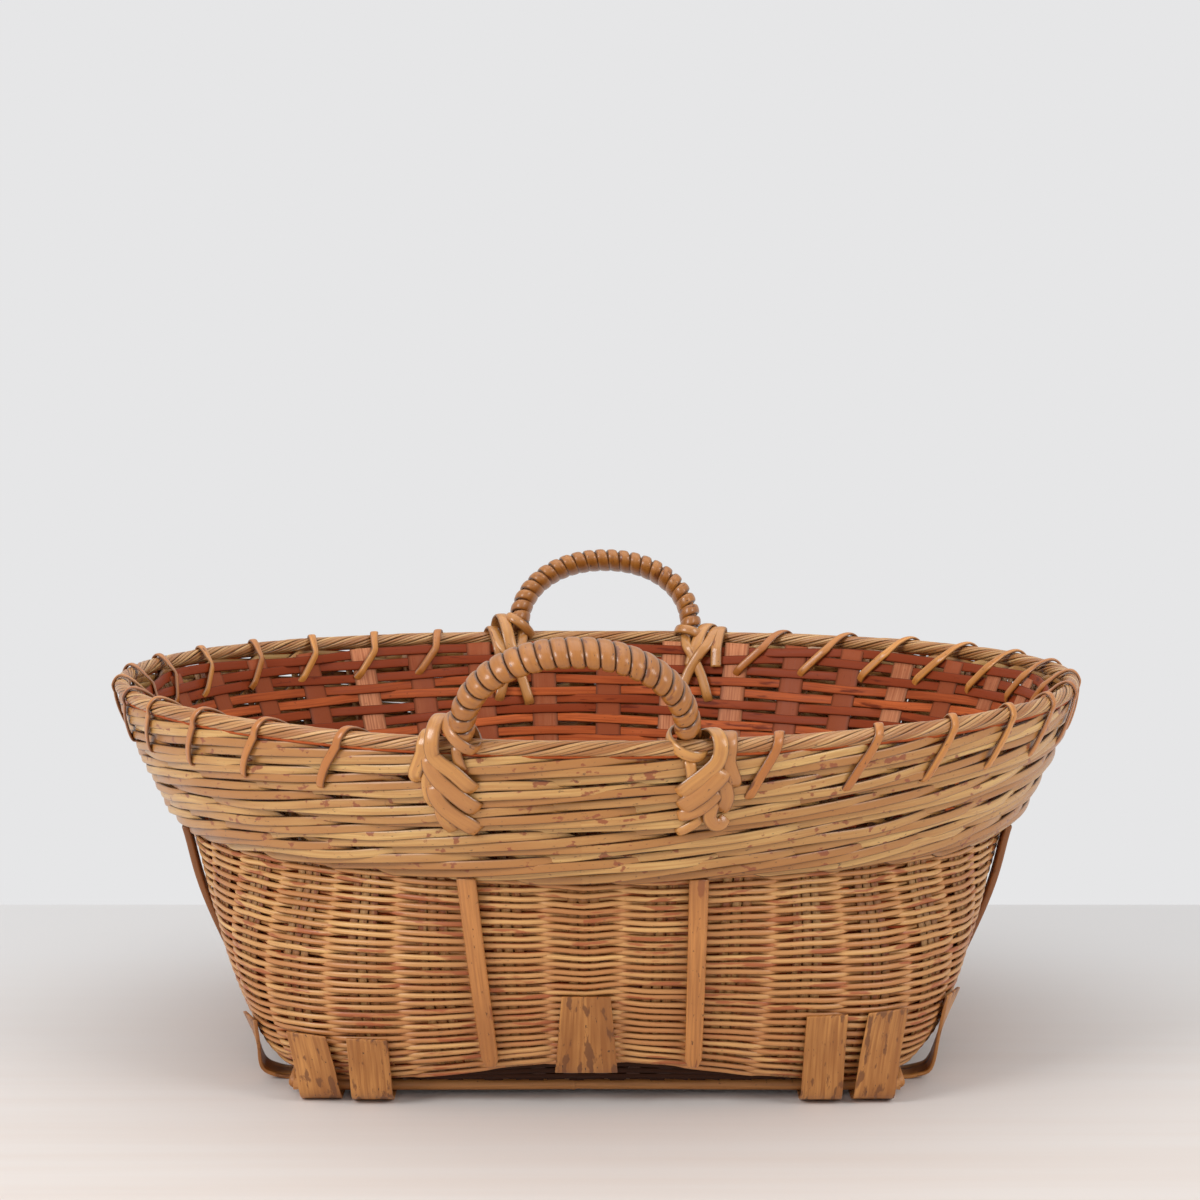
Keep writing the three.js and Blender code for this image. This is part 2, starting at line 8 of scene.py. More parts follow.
import bpy
import numpy as np
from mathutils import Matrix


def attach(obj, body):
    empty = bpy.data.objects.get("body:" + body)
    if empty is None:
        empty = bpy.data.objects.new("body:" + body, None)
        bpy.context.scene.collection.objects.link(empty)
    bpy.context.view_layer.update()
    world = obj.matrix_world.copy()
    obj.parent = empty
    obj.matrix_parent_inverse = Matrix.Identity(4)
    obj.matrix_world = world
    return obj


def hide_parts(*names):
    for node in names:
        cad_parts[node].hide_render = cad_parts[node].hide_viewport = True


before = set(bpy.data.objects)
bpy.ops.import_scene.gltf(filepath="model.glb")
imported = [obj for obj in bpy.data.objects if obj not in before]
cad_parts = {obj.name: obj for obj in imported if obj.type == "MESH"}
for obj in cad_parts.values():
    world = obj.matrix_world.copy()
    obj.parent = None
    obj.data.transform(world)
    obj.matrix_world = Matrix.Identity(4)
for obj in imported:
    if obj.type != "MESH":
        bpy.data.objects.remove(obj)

scene = bpy.context.scene
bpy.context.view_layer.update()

# %% [markdown]
# The camera comes first, so that every look is through the photograph's own eye. It stands 1.38 m
# in front, a little above the rim, with a long lens and a slight tilt down. Its place was found by
# matching the outlines of the rim, the knots and the feet.

# %%  Camera
MM = 0.001
CAMERA_PLACE = (1.4 * MM, -1379.0 * MM, 349.5 * MM)
CAMERA_TILT = math.radians(90 - 5.988)
bpy.ops.object.camera_add(location=CAMERA_PLACE, rotation=(CAMERA_TILT, 0, 0))
camera = bpy.context.object
camera.name = "photo_camera"
camera.data.sensor_width = 36
camera.data.lens = 87.4
scene.camera = camera
scene.view_settings.view_transform = "Standard"

# %% [markdown]
# Small helpers put each shader node on one line. A node is fed numbers, colours or sockets.


# %%  Helpers for shader nodes
def feed(tree, node, values):
    """Sets or joins a node's inputs, each found by its name or number."""
    for key, value in values.items():
        if isinstance(value, bpy.types.NodeSocket):
            tree.links.new(value, node.inputs[key])
        else:
            node.inputs[key].default_value = value


def add_node(tree, kind, values=(), **settings):
    node = tree.nodes.new(kind)
    for key, value in settings.items():
        setattr(node, key, value)
    feed(tree, node, dict(values))
    return node


def ramp_value(tree, source, low, high, to_low=0.0, to_high=1.0):
    """Stretches a value from low..high to to_low..to_high and clips it there."""
    values = {0: source, 1: low, 2: high, 3: to_low, 4: to_high}
    return add_node(tree, "ShaderNodeMapRange", values).outputs[0]


def mix_colour(tree, amount, first, second):
    values = {0: amount, 6: first, 7: second}
    return add_node(tree, "ShaderNodeMix", values, data_type="RGBA").outputs[2]


def noise(tree, place, detail):
    values = {"Vector": place, "Scale": 1.0, "Detail": detail}
    return add_node(tree, "ShaderNodeTexNoise", values).outputs["Fac"]


def maths(tree, kind, first, second=0.0):
    return add_node(tree, "ShaderNodeMath", {0: first, 1: second}, operation=kind).outputs[0]


def show_either(tree, output, amount, first, second):
    """Sends one shader node or the other to the tree's output."""
    sockets = {0: amount, 1: first.outputs[0], 2: second.outputs[0]}
    either = add_node(tree, "ShaderNodeMixShader", sockets)
    feed(tree, tree.nodes[output], {"Surface": either.outputs[0]})


def camera_ray(tree):
    """1 for what the camera sees directly, and 0 for all other light."""
    return add_node(tree, "ShaderNodeLightPath").outputs["Is Camera Ray"]


def colour(chart):
    """A colour chart's code, in the linear values that nodes use."""
    levels = [level / 255 for level in bytes.fromhex(chart)]
    linear = [c / 12.92 if c <= 0.04045 else ((c + 0.055) / 1.055) ** 2.4 for c in levels]
    return (*linear, 1.0)


# %% [markdown]
# The basket stands on a pale table with a plain light wall behind. One wide sheet serves for both:
# past an edge the camera sees wall.

# %%  Table, wall and light
TABLE_EDGE = 270 * MM
GRAIN_STRETCH = (2.5, 60, 1)
WALL_TONE = colour("e6e6e7")
TABLE_TONE = colour("e0d9d4")
TABLE_STREAK = colour("ddd3cc")
TABLE_BACK = colour("dedddd")

bpy.ops.mesh.primitive_plane_add(size=12)
table = bpy.context.object
table.name = "table"

table_finish = bpy.data.materials.new("pale_table")
table_finish.use_nodes = True
tree = table_finish.node_tree
top = tree.nodes["Principled BSDF"]
place = add_node(tree, "ShaderNodeTexCoord").outputs["Object"]
depth = add_node(tree, "ShaderNodeSeparateXYZ", {"Vector": place}).outputs["Y"]
stretch = add_node(tree, "ShaderNodeMapping", {"Vector": place, "Scale": GRAIN_STRETCH})
streak = ramp_value(tree, noise(tree, stretch.outputs["Vector"], 4.0), 0.35, 0.7)
board = mix_colour(tree, streak, TABLE_TONE, TABLE_STREAK)
board = mix_colour(tree, ramp_value(tree, depth, -0.25, 0.15), board, TABLE_BACK)
feed(tree, top, {"Base Color": board, "Roughness": 0.6, "Specular IOR Level": 0.25})
past_edge = ramp_value(tree, depth, TABLE_EDGE, TABLE_EDGE + 2 * MM)
seen_wall = maths(tree, "MULTIPLY", past_edge, camera_ray(tree))
wall_glow = add_node(tree, "ShaderNodeEmission", {"Color": WALL_TONE, "Strength": 1.0})
show_either(tree, "Material Output", seen_wall, top, wall_glow)
table.data.materials.append(table_finish)

scene.world = bpy.data.worlds.new("studio")
scene.world.use_nodes = True
tree = scene.world.node_tree
sky = tree.nodes["Background"]
feed(tree, sky, {"Color": (1.0, 1.0, 1.0, 1.0), "Strength": 0.6})
wall_seen = add_node(tree, "ShaderNodeBackground", {"Color": WALL_TONE, "Strength": 1.0})
show_either(tree, "World Output", camera_ray(tree), sky, wall_seen)


def soft_lamp(name, place, aim, size, power):
    """A square lamp of a size in metres and a power in watts, turned towards aim."""
    bpy.ops.object.light_add(type="AREA", location=place)
    lamp = bpy.context.object
    lamp.name = name
    lamp.data.size = size
    lamp.data.energy = power
    x, y, z = np.subtract(aim, place)
    lamp.rotation_euler = (math.atan2(math.hypot(x, y), -z), 0, math.atan2(-x, y))


soft_lamp("window_left", (-1.4, -1.1, 1.1), (0, 0, 0.1), 0.8, 17)
soft_lamp("window_right", (1.5, -1.1, 1.2), (0, 0, 0.1), 0.8, 11)
soft_lamp("ceiling", (0, 0.1, 1.9), (0, 0, 0), 2.0, 12)
print("stage and", len(bpy.data.lights), "lamps")

# %% [markdown]
# Everything woven follows one wall: a rounded square at the foot that opens to an oval at the rim.
# The CAD model drew it with these sizes and this formula, in millimetres. Used again, they put
# each strand on that wall, so the strands fit the solids.

# %%  The wall's formula
FOOT_HALF = (151.0, 148.0)
RIM_HALF = (222.0, 195.0)
WALL_FOOT = 10.5
WALL_TOP = 169.5
WALL_BELLY = 0.1
FOOT_CURL = 3.0
CURL_HEIGHT = 16.0
FOOT_SQUARENESS = 5.0
RIM_SQUARENESS = 2.0
OVAL_HEIGHT = 110.0
RIM_SWAY = 2.0
ROLL_CENTRE = 166.0
ROLL_SHIFT = 3.0
BAND_BOTTOM = 105.0
BAND_TOP = 162.3
FOOT_ARCH = 11.5
FOOT_DIP = 3.5
FOOT_ABOVE_MAT = 1.2
TURN = 2 * math.pi
UP = np.array([0.0, 0.0, 1.0])


def smooth(x):
    x = np.clip(x, 0, 1)
    return x * x * (3 - 2 * x)


def wall_size(z, off=0.0):
    """Half width, half depth and squareness of the wall at a height."""
    s = (z - WALL_FOOT) / (WALL_TOP - WALL_FOOT)
    spread = s * (1 + WALL_BELLY * (1 - s))
    curl = FOOT_CURL * np.maximum(1 - (z - WALL_FOOT) / CURL_HEIGHT, 0) ** 2
    a = FOOT_HALF[0] + (RIM_HALF[0] - FOOT_HALF[0]) * spread + off - curl
    b = FOOT_HALF[1] + (RIM_HALF[1] - FOOT_HALF[1]) * spread + off - curl
    rounding = smooth((z - WALL_FOOT) / (OVAL_HEIGHT - WALL_FOOT))
    n = FOOT_SQUARENESS + (RIM_SQUARENESS - FOOT_SQUARENESS) * rounding
    return a, b, n


def on_wall(angle, z, off=0.0):
    """Points on the wall; the angle goes round from +X, and off stands outwards."""
    angle, z, off = np.broadcast_arrays(*(np.asarray(v, float) for v in (angle, z, off)))
    a, b, n = wall_size(z, off)
    reach = (np.abs(np.cos(angle) / a) ** n + np.abs(np.sin(angle) / b) ** n) ** (-1 / n)
    return np.stack([reach * np.cos(angle), reach * np.sin(angle), z], -1)


def unit(vectors):
    """The same directions, one long."""
    return vectors / np.maximum(np.linalg.norm(vectors, axis=-1, keepdims=True), 1e-9)


def wall_out(angle, z):
    """The direction straight out of the wall."""
    step, rise = 0.002, 0.4  # radians and millimetres
    around = on_wall(angle + step, z) - on_wall(angle - step, z)
    up = on_wall(angle, z + rise) - on_wall(angle, z - rise)
    return unit(np.cross(around, up))


def rim_rise(angle):
    return RIM_SWAY * np.cos(2 * angle)


def band_height(angle, share):
    return BAND_BOTTOM + share * (BAND_TOP + rim_rise(angle) - BAND_BOTTOM)


def band_offset(share):
    """How far the band stands out of the wall, from its foot (0) to its top (1)."""
    lip = 2.5 * np.exp(-((share - 0.14) / 0.14) ** 2)
    return 2 + share * 5 + 4 * np.sin(np.pi * np.clip(share, 0, 1)) + lip


def foot_edge(angle):
    """The lower edge of the fine weave, which arches up in the middle of each side."""
    return WALL_FOOT + FOOT_ABOVE_MAT - FOOT_DIP + FOOT_ARCH * np.cos(2 * angle) ** 2


# %% [markdown]
# The weave runs round 36 uprights, the stakes. In the photo they stand about 32 mm apart half way
# up the fine weave. Places along a strand are counted in stakes.

# %%  Stakes round the wall
STAKES = 36
COUNT_HEIGHT = 75.0
FIRST_STAKE = math.atan2(-170, -5.6)
FINE_STEPS = 2880


def travel(line):
    """How far along a line each of its points lies."""
    return np.concatenate([[0], np.cumsum(np.linalg.norm(np.diff(line, axis=0), axis=1))])


fine_angles = FIRST_STAKE + np.linspace(0, TURN, FINE_STEPS + 1)
round_wall = travel(on_wall(fine_angles, COUNT_HEIGHT))
stakes_passed = round_wall / round_wall[-1] * STAKES


def stake_angle(count):
    """The angle of a place counted in stakes, from the front middle to the right and round."""
    whole = np.floor(np.asarray(count) / STAKES)
    return np.interp(count - whole * STAKES, stakes_passed, fine_angles) + TURN * whole


print("stake spacing", round(round_wall[-1] / STAKES, 1), "mm")

# %% [markdown]
# A strand is a thin profile that follows a line. Extruding it by hand would take thousands of
# steps, and a curve's bevel can't keep a flat strip square to the wall. So a small weaver lays
# rings of points along each line. It records how far along and round each face lies, so that grain
# and stains run with the strand, and how near its edge each point is, where dirt and painted
# shade darken it.


# %%  The weaver
lots = np.random.default_rng(7)


def signed_power(values, power):
    return np.sign(values) * np.abs(values) ** power


def oval(width, thickness, sides):
    """A rounded profile: across the strand, then out of the wall."""
    turns = (np.arange(sides) + 0.5) / sides * TURN
    across, out = signed_power(np.cos(turns), 0.7), signed_power(np.sin(turns), 0.7)
    return np.stack([across * width / 2, out * thickness / 2], -1)


def crowned(width, thickness, crown):
    """A strip split from a round cane: flat at the back, domed in front."""
    across = np.array([1, 0.97, 0.8, 0.45, 0, -0.45, -0.8, -0.97, -1, -0.85, 0.85])
    out = np.array([-0.1, 0.35, 0.75, 0.95, 1, 0.95, 0.75, 0.35, -0.1, -0.5, -0.5])
    dome = np.where(out > 0, (out - 1) * crown, 0)
    return np.stack([across * width / 2, out * thickness / 2 + dome], -1)


def flat_faced(width, thickness):
    """A rod split flat: a nearly flat face with crisp edges."""
    across = np.array([1, 0.94, 0.8, 0.4, -0.4, -0.8, -0.94, -1, -0.7, 0.7])
    out = np.array([-0.3, 0.55, 0.86, 1, 1, 0.86, 0.55, -0.3, -1, -1])
    return np.stack([across * width / 2, out * thickness / 2], -1)


class Weaver:
    """Gathers strands and makes one piece of them."""

    def __init__(self):
        self.points, self.quads, self.caps = [], [], []
        self.maps, self.cap_maps, self.tones, self.edges = [], [], [], []
        self.total = 0

    def strand(self, line, outs, profile, tone, closed=False):
        """Lays a profile along a line with its face towards outs; a closed line joins its ends."""
        if closed:
            ahead = unit(np.roll(line, -1, axis=0) - np.roll(line, 1, axis=0))
        else:
            ahead = unit(np.gradient(line, axis=0))
        across = unit(np.cross(outs, ahead))
        outs = np.cross(ahead, across)
        profile = np.broadcast_to(profile, (len(line),) + profile.shape[-2:])
        rings = (line[:, None] + across[:, None] * profile[..., :1]
                 + outs[:, None] * profile[..., 1:])
        n, m = rings.shape[:2]
        i, j = np.mgrid[:n if closed else n - 1, :m]
        k, l = (i + 1) % n, (j + 1) % m
        quads = np.stack([i * m + j, i * m + l, k * m + l, k * m + j], -1).reshape(-1, 4)
        u = travel(np.vstack([line, line[:1]])) * MM
        v = travel(np.vstack([profile[0], profile[0][:1]])) * MM
        corners = [(i, j), (i, j + 1), (i + 1, j + 1), (i + 1, j)]
        maps = np.stack([np.stack([u[p], v[q]], -1) for p, q in corners], axis=2)
        self.points.append(rings.reshape(-1, 3))
        self.quads.append(quads + self.total)
        self.maps.append(maps.reshape(-1, 4, 2))
        self.tones.append(np.full(n * m, tone))
        half = np.abs(profile[..., 0]).max(axis=-1, keepdims=True)
        self.edges.append((np.abs(profile[..., 0]) / half).ravel())
        if not closed:
            for end, order in ((0, -1), (n - 1, 1)):
                self.caps.append((np.arange(m) + end * m + self.total)[::order])
                self.cap_maps.append((profile[end] * MM + [u[end], 0])[::order])
        self.total += n * m

    def on_the_wall(self, angle, z, off, profile, inside=False, closed=False):
        """Lays one strand on the wall, facing out or in, with a tone drawn by lot."""
        outs = wall_out(angle, z) * (-1 if inside else 1)
        self.strand(on_wall(angle, z, off), outs, profile, lots.random(), closed)

    def piece(self, name):
        """Makes the mesh, with its lay map, its tone for each strand and its edges."""
        quads, maps = np.concatenate(self.quads), np.concatenate(self.maps)
        corners = np.concatenate([quads.reshape(-1)] + self.caps)
        laid = np.concatenate([maps.reshape(-1, 2)] + self.cap_maps)
        sizes = np.array([4] * len(quads) + [len(c) for c in self.caps])
        mesh = bpy.data.meshes.new(name)
        mesh.vertices.add(self.total)
        mesh.vertices.foreach_set("co", (np.concatenate(self.points) * MM).ravel())
        mesh.loops.add(len(corners))
        mesh.loops.foreach_set("vertex_index", corners.astype(np.int32))
        mesh.polygons.add(len(sizes))
        mesh.polygons.foreach_set("loop_start", np.concatenate([[0], np.cumsum(sizes)[:-1]]))
        mesh.polygons.foreach_set("use_smooth", sizes == 4)
        mesh.uv_layers.new(name="lay").data.foreach_set("uv", laid.ravel())
        for key, values in (("tone", self.tones), ("edge", self.edges)):
            kept = mesh.attributes.new(key, "FLOAT", "POINT")
            kept.data.foreach_set("value", np.concatenate(values))
        mesh.update(calc_edges=True)
        mesh.validate()
        made = bpy.data.objects.new(name, mesh)
        scene.collection.objects.link(made)
        return made


def settle(made, finish, slot, *nodes):
    """Gives a piece its finish, and says what it rides on and which solids it stands for."""
    made.data.materials.append(finish)
    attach(made, "root")
    if nodes:
        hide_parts(*nodes)
    print(made.name, "with", sum(len(p.vertices) - 2 for p in made.data.polygons), "triangles")


# %% [markdown]
# Split cane, bamboo and rattan share one look: fine fibres along the strand, a tone of its own for
# each strand, rust-red stains where bark was left, and small dark flecks. A node group holds that
# once. Each finish feeds it three colours and its own amounts.


# %%  Shared look of a split strand
AMOUNTS = {"share": 0.1, "length": 30.0, "fibre": 900.0, "flecks": 0.5, "spread": 0.5,
           "depth": 0.6, "edge": 0.6, "mottle": 0.55}
FLECK = (0.035, 0.012, 0.006, 1)
# Near-black brown for the strands' edges: dirt, and painted shade in the crevices.
EDGE_DIRT_AND_SHADE = (0.05, 0.016, 0.006, 1)


def splint_look():
    """share and length shape the stains; fibre and depth the fibres; spread is the change of tone
    from strand to strand, mottle the change within one; edge is the darkening at the edges:
    dirt and painted shade."""
    group = bpy.data.node_groups.new("splint_look", "ShaderNodeTree")
    face = group.interface
    for name in ("light", "deep", "patch"):
        face.new_socket(name, in_out="INPUT", socket_type="NodeSocketColor")
    for name in AMOUNTS:
        face.new_socket(name, in_out="INPUT", socket_type="NodeSocketFloat")
    for name, kind in (("Color", "Color"), ("Roughness", "Float"), ("Height", "Float")):
        face.new_socket(name, in_out="OUTPUT", socket_type="NodeSocket" + kind)
    given = add_node(group, "NodeGroupInput").outputs
    lay = add_node(group, "ShaderNodeUVMap", uv_map="lay").outputs["UV"]
    tone = add_node(group, "ShaderNodeAttribute", attribute_name="tone").outputs["Fac"]
    edge = add_node(group, "ShaderNodeAttribute", attribute_name="edge").outputs["Fac"]
    parts = add_node(group, "ShaderNodeSeparateXYZ", {"Vector": lay}).outputs

    def times(first, second):
        return maths(group, "MULTIPLY", first, second)

    def sample(along, around, detail=3.0):
        """Noise that is stretched along the strand and differs from strand to strand."""
        axes = {0: times(parts["X"], along), 1: times(parts["Y"], around), 2: times(tone, 83.0)}
        place = add_node(group, "ShaderNodeCombineXYZ", axes).outputs["Vector"]
        return noise(group, place, detail)

    fibre = sample(40.0, given["fibre"], 5.0)
    cloud = times(sample(22.0, 60.0), given["mottle"])
    own = times(maths(group, "FRACT", times(tone, 7.31)), given["spread"])
    shade = ramp_value(group, maths(group, "ADD", cloud, own), 0.2, 0.85)
    body = mix_colour(group, shade, given["light"], given["deep"])
    lines = times(ramp_value(group, fibre, 0.62, 0.36), given["depth"])
    body = mix_colour(group, lines, body, given["deep"])
    stain = maths(group, "ADD", sample(given["length"], 240.0, 6.0), times(edge, 0.05))
    gate = maths(group, "SUBTRACT", 0.78, times(given["share"], 0.6))
    rust = ramp_value(group, maths(group, "SUBTRACT", stain, gate), 0.0, 0.04, 0.0, 0.85)
    body = mix_colour(group, rust, body, given["patch"])
    speck = ramp_value(group, sample(420.0, 900.0, 2.0), 0.68, 0.75)
    dots = times(speck, given["flecks"])
    body = mix_colour(group, dots, body, FLECK)
    # Towards the edges the colour darkens to near-black: partly dirt, partly painted shade in the
    # crevices between strands.
    dirt = times(ramp_value(group, edge, 0.74, 0.95), given["edge"])
    body = mix_colour(group, dirt, body, EDGE_DIRT_AND_SHADE)
    rough = ramp_value(group, fibre, 0.25, 0.75, 0.34, 0.56)
    height = maths(group, "SUBTRACT", fibre, times(dots, 0.7))
    add_node(group, "NodeGroupOutput", {"Color": body, "Roughness": rough, "Height": height})
    return group


LOOK = splint_look()


def splint_finish(name, light, deep, patch, coat=0.0, coat_roughness=0.25, relief=0.12,
                  specular=0.5, **amounts):
    """A finish of the shared look; amounts not given are the usual ones."""
    finish = bpy.data.materials.new(name)
    finish.use_nodes = True
    tree = finish.node_tree
    look = add_node(tree, "ShaderNodeGroup", node_tree=LOOK)
    feed(tree, look, {"light": colour(light), "deep": colour(deep), "patch": colour(patch),
                      **AMOUNTS, **amounts})
    seen = look.outputs
    bump = {"Strength": 0.6, "Distance": relief * MM, "Height": seen["Height"]}
    feed(tree, tree.nodes["Principled BSDF"], {
        "Base Color": seen["Color"], "Roughness": seen["Roughness"],
        "Normal": add_node(tree, "ShaderNodeBump", bump).outputs["Normal"],
        "Specular IOR Level": specular, "Coat Weight": coat, "Coat Roughness": coat_roughness})
    return finish


fine_cane = splint_finish(
    "fine_split_cane", "e8b672", "c08048", "a85426", coat=0.2,
    share=0.29, length=40, fibre=1500, flecks=0.35, spread=0.7, edge=0.35)
band_cane = splint_finish(
    "band_split_cane", "e8be76", "b4783a", "92461e", coat=0.5,
    coat_roughness=0.3, share=0.23, length=160, fibre=1100, flecks=0.6, spread=0.7, edge=0.95)
rim_cane = splint_finish(
    "rim_twist", "e8ba7c", "ae723c", "9c5a2e", coat=0.5, relief=0.3,
    share=0.16, length=60, fibre=1800, flecks=0.6, spread=0.8, depth=0.8)
lash_cane = splint_finish(
    "glossy_lashing_cane", "dc9e50", "b47234", "8c4c24", coat=0.8,
    coat_roughness=0.18, share=0.12, length=60, fibre=700, flecks=0.7, spread=0.45)
lacing_cane = splint_finish(
    "lacing_cane", "e69e46", "b66c2a", "783e18", coat=0.5, coat_roughness=0.2,
    share=0.14, length=60, fibre=700, flecks=0.7, spread=0.6, edge=0.7)
winding_cane = splint_finish(
    "winding_cane", "ce8834", "9e5e22", "80461e", coat=0.6, coat_roughness=0.2,
    share=0.22, length=120, fibre=700, flecks=0.9, spread=0.45, edge=0.85)
lining_splint = splint_finish(
    "red_lining_splint", "d66e38", "8e3c1c", "682612", specular=0.12,
    share=0.2, fibre=1300, spread=0.8)
pale_stake = splint_finish(
    "pale_stake", "e29c70", "984c2c", "8c4226", specular=0.12,
    share=0.15, length=20, fibre=1000, flecks=0.3, spread=1.3, edge=0.5)
# Painted shade: near-black colours for the floor mat, the dark space under the basket.
mat_shade_finish = splint_finish(
    "mat_painted_shade", "3e2015", "22110b", "1a0c08", specular=0.1,
    share=0.2, length=20, fibre=1300, flecks=0.4, spread=0.6)
stave_bamboo = splint_finish(
    "stave_bamboo", "d8924e", "a0622e", "96542a", coat=0.2,
    share=0.2, length=60, flecks=0.7, spread=0.12, mottle=0.8)
# Painted shade: a darker copy of the stave bamboo, for the staves on the ends, which stand in
# shade.
end_stave_painted_shade = splint_finish(
    "end_stave_painted_shade", "9e6436", "704222", "542e18", spread=0.3, depth=0.4)
strap_bamboo = splint_finish(
    "worn_strap_bamboo", "e4a258", "985c26", "744420", coat=0.15, relief=0.25,
    share=0.36, length=90, fibre=700, flecks=1.0, spread=0.14, depth=0.85, mottle=1.0)
runner_bamboo = splint_finish(
    "runner_bamboo", "d69456", "a46836", "6e3c20",
    share=0.12, flecks=0.6, spread=0.3)
print(len(bpy.data.materials), "finishes")

# %% [markdown]
# Each stake is three thin strips side by side, up the wall inside the weave.

# %%  Stakes of the fine weave
STRIP_WIDTH = 4.7
STRIP_THICKNESS = 0.9
STRIP_STEP = 0.143
STRIP_TOP = 161


def stake_off(z):
    """How deep the stakes stand: inside the weave, and further out behind the band."""
    share = np.clip((z - BAND_BOTTOM) / (BAND_TOP - BAND_BOTTOM), 0, 1)
    return -2.2 + share * 2.9 + 2.0 * np.sin(np.pi * share)


weaver = Weaver()
for stake in range(STAKES):
    for strip in (-1, 0, 1):
        angle = stake_angle(stake + strip * STRIP_STEP)
        z = np.linspace(foot_edge(angle) + 0.5, STRIP_TOP, 18)
        weaver.on_the_wall(angle, z, stake_off(z), oval(STRIP_WIDTH, STRIP_THICKNESS, 4))
settle(weaver.piece("outer_stakes"), fine_cane, "weave")

# %% [markdown]
# The fine weave is plain: each strand goes over one stake and behind the next, and the next row
# does the opposite. Half way between stakes all strands cross the wall together, which makes the
# pale upright ridges in the photo. The lowest rows follow the arched foot.

# %%  Fine weave
ROWS = 53
ROW_TOP = 106.5
HIDDEN = -3.5
STATIONS = np.array([0, 0.13, 0.21, 0.28, 0.37, 0.5, 0.63, 0.72, 0.79, 0.87])
DIVING = np.array([-0.85, -0.85, -0.9, -1.05, -1.35, -1.75, -3.2] + [HIDDEN] * 3)
RISING = np.array([HIDDEN] * 4 + [-3.2, -1.75, -1.35, -1.05, -0.9, -0.85])
ARCH_FADE = 2.2
count = (np.arange(STAKES)[:, None] + STATIONS).ravel()
angles = stake_angle(count)
bow = np.interp(count, np.arange(STAKES + 1), np.append(lots.uniform(-0.3, 0.3, STAKES), 0))
bow -= 0.5 * np.exp(-(count**2)) + 0.5 * np.exp(-((count - STAKES) ** 2))
corner_edge = foot_edge(np.pi / 4)


def waver(size, slowest, fastest):
    """Gentle unevenness of a strand that runs round the wall, drawn by lot."""
    return sum(lots.normal(0, size) * np.cos(k * TURN * count / STAKES + lots.random() * TURN)
               for k in range(slowest, fastest))


weaver = Weaver()
for row in range(ROWS):
    share = (row + 0.5) / ROWS
    is_front = (np.arange(STAKES) + row) % 2 == 0
    off = np.where(is_front[:, None], DIVING, RISING).ravel()
    z = corner_edge + share * (ROW_TOP - corner_edge) + waver(0.12, 3, 12)
    z = z + (foot_edge(angles) - corner_edge) * (1 - share) ** ARCH_FADE
    z = z + bow * np.cos(TURN * count)
    profile = np.where((off > -3)[:, None, None], oval(2.55, 1.5, 5), oval(2.2, 1.3, 5))
    weaver.on_the_wall(angles, z, off, profile, closed=True)
settle(weaver.piece("fine_weave"), fine_cane, "weave", "body_weave")

# %% [markdown]
# The thick band is five courses of four-rod wale. Each flat rod comes out low between two stakes,
# from under the rod before it, climbs over three stakes, and goes in high behind the fourth. The
# rods take turns, one stake apart, so three show everywhere, like long shingles.

# %%  Band of wale
COURSES = 5
RODS = 4
ROD_WIDTH = 4.2
ROD_THICKNESS = 2.0
ROD_TILT = 0.25
SHOWN = 0.8
ROD_CLIMB = 0.92
DEPTH_PHASES = [0, 0.1, 0.25, 0.5, 0.7, 0.8, 0.9, 1]
DEPTHS = [-3.9, -2.8, -1.4, -0.7, -1.6, -3.1, -5.3, -3.9]


def round_count(steps_per_stake):
    """Places all the way round, counted in stakes, and their angles."""
    count = np.arange(STAKES * steps_per_stake) / steps_per_stake
    return count, stake_angle(count)


count, angles = round_count(12)
weaver = Weaver()
for course in range(COURSES):
    for rod in range(RODS):
        phase = ((count - 0.5 - rod + lots.uniform(-0.12, 0.12)) / RODS) % 1
        climb = np.where(phase < SHOWN, phase / SHOWN, 1 - smooth((phase - SHOWN) / (1 - SHOWN)))
        share = (course + 0.5 + ROD_CLIMB * (climb - 0.5)) / COURSES
        off = band_offset(share) + np.interp(phase, DEPTH_PHASES, DEPTHS)
        z = band_height(angles, share)
        line = on_wall(angles, z, off) + waver(0.16, 4, 18)[:, None] * UP
        profile = flat_faced(ROD_WIDTH * lots.uniform(0.92, 1.06), ROD_THICKNESS)
        outs = unit(wall_out(angles, z) + ROD_TILT * UP)
        weaver.strand(line, outs, profile, lots.random(), closed=True)
settle(weaver.piece("wale_band"), band_cane, "band", "upper_band")

# %% [markdown]
# The rim is a rope of split cane laid along the top: four bunches of three fine strands turn round
# one another. Each strand follows the rope's middle line plus a small circle that turns as it runs.

# %%  Twisted rim
ROPE_PLACES = [bunch / 4 + 0.074 * strand for bunch in range(4) for strand in range(3)]
ROPE_TURNS = 19
ROPE_ORBIT = 2.5
ROPE_STEPS = 1000
count = np.arange(ROPE_STEPS) / ROPE_STEPS * STAKES
angles = stake_angle(count)
middle_height = ROLL_CENTRE + rim_rise(angles)
middle = on_wall(angles, middle_height, ROLL_SHIFT)
outs = unit(wall_out(angles, middle_height) * (1, 1, 0))
weaver = Weaver()
for start in ROPE_PLACES:
    twist = TURN * (ROPE_TURNS * count / STAKES + start)
    radial = outs * np.cos(twist)[:, None] + UP * np.sin(twist)[:, None]
    line = middle + radial * (ROPE_ORBIT + lots.uniform(-0.15, 0.15))
    profile = oval(lots.uniform(1.5, 1.8), 1.8, 8)
    weaver.strand(line, radial, profile, lots.random(), closed=True)
settle(weaver.piece("twisted_rim"), rim_cane, "rim", "rim_bundle")

weaver = Weaver()
line = on_wall(angles, band_height(angles, 1) + 0.4, band_offset(1) - 2.2)
weaver.strand(line[::2], outs[::2], oval(1.8, 1.6, 6), 0.3, closed=True)
settle(weaver.piece("red_splint_under_rim"), lining_splint, "lining")

# %% [markdown]
# Inside, wide red-brown splints run in an open plain weave over broad flat stakes, some pale.
# Light from outside shows through the gaps near the rim.

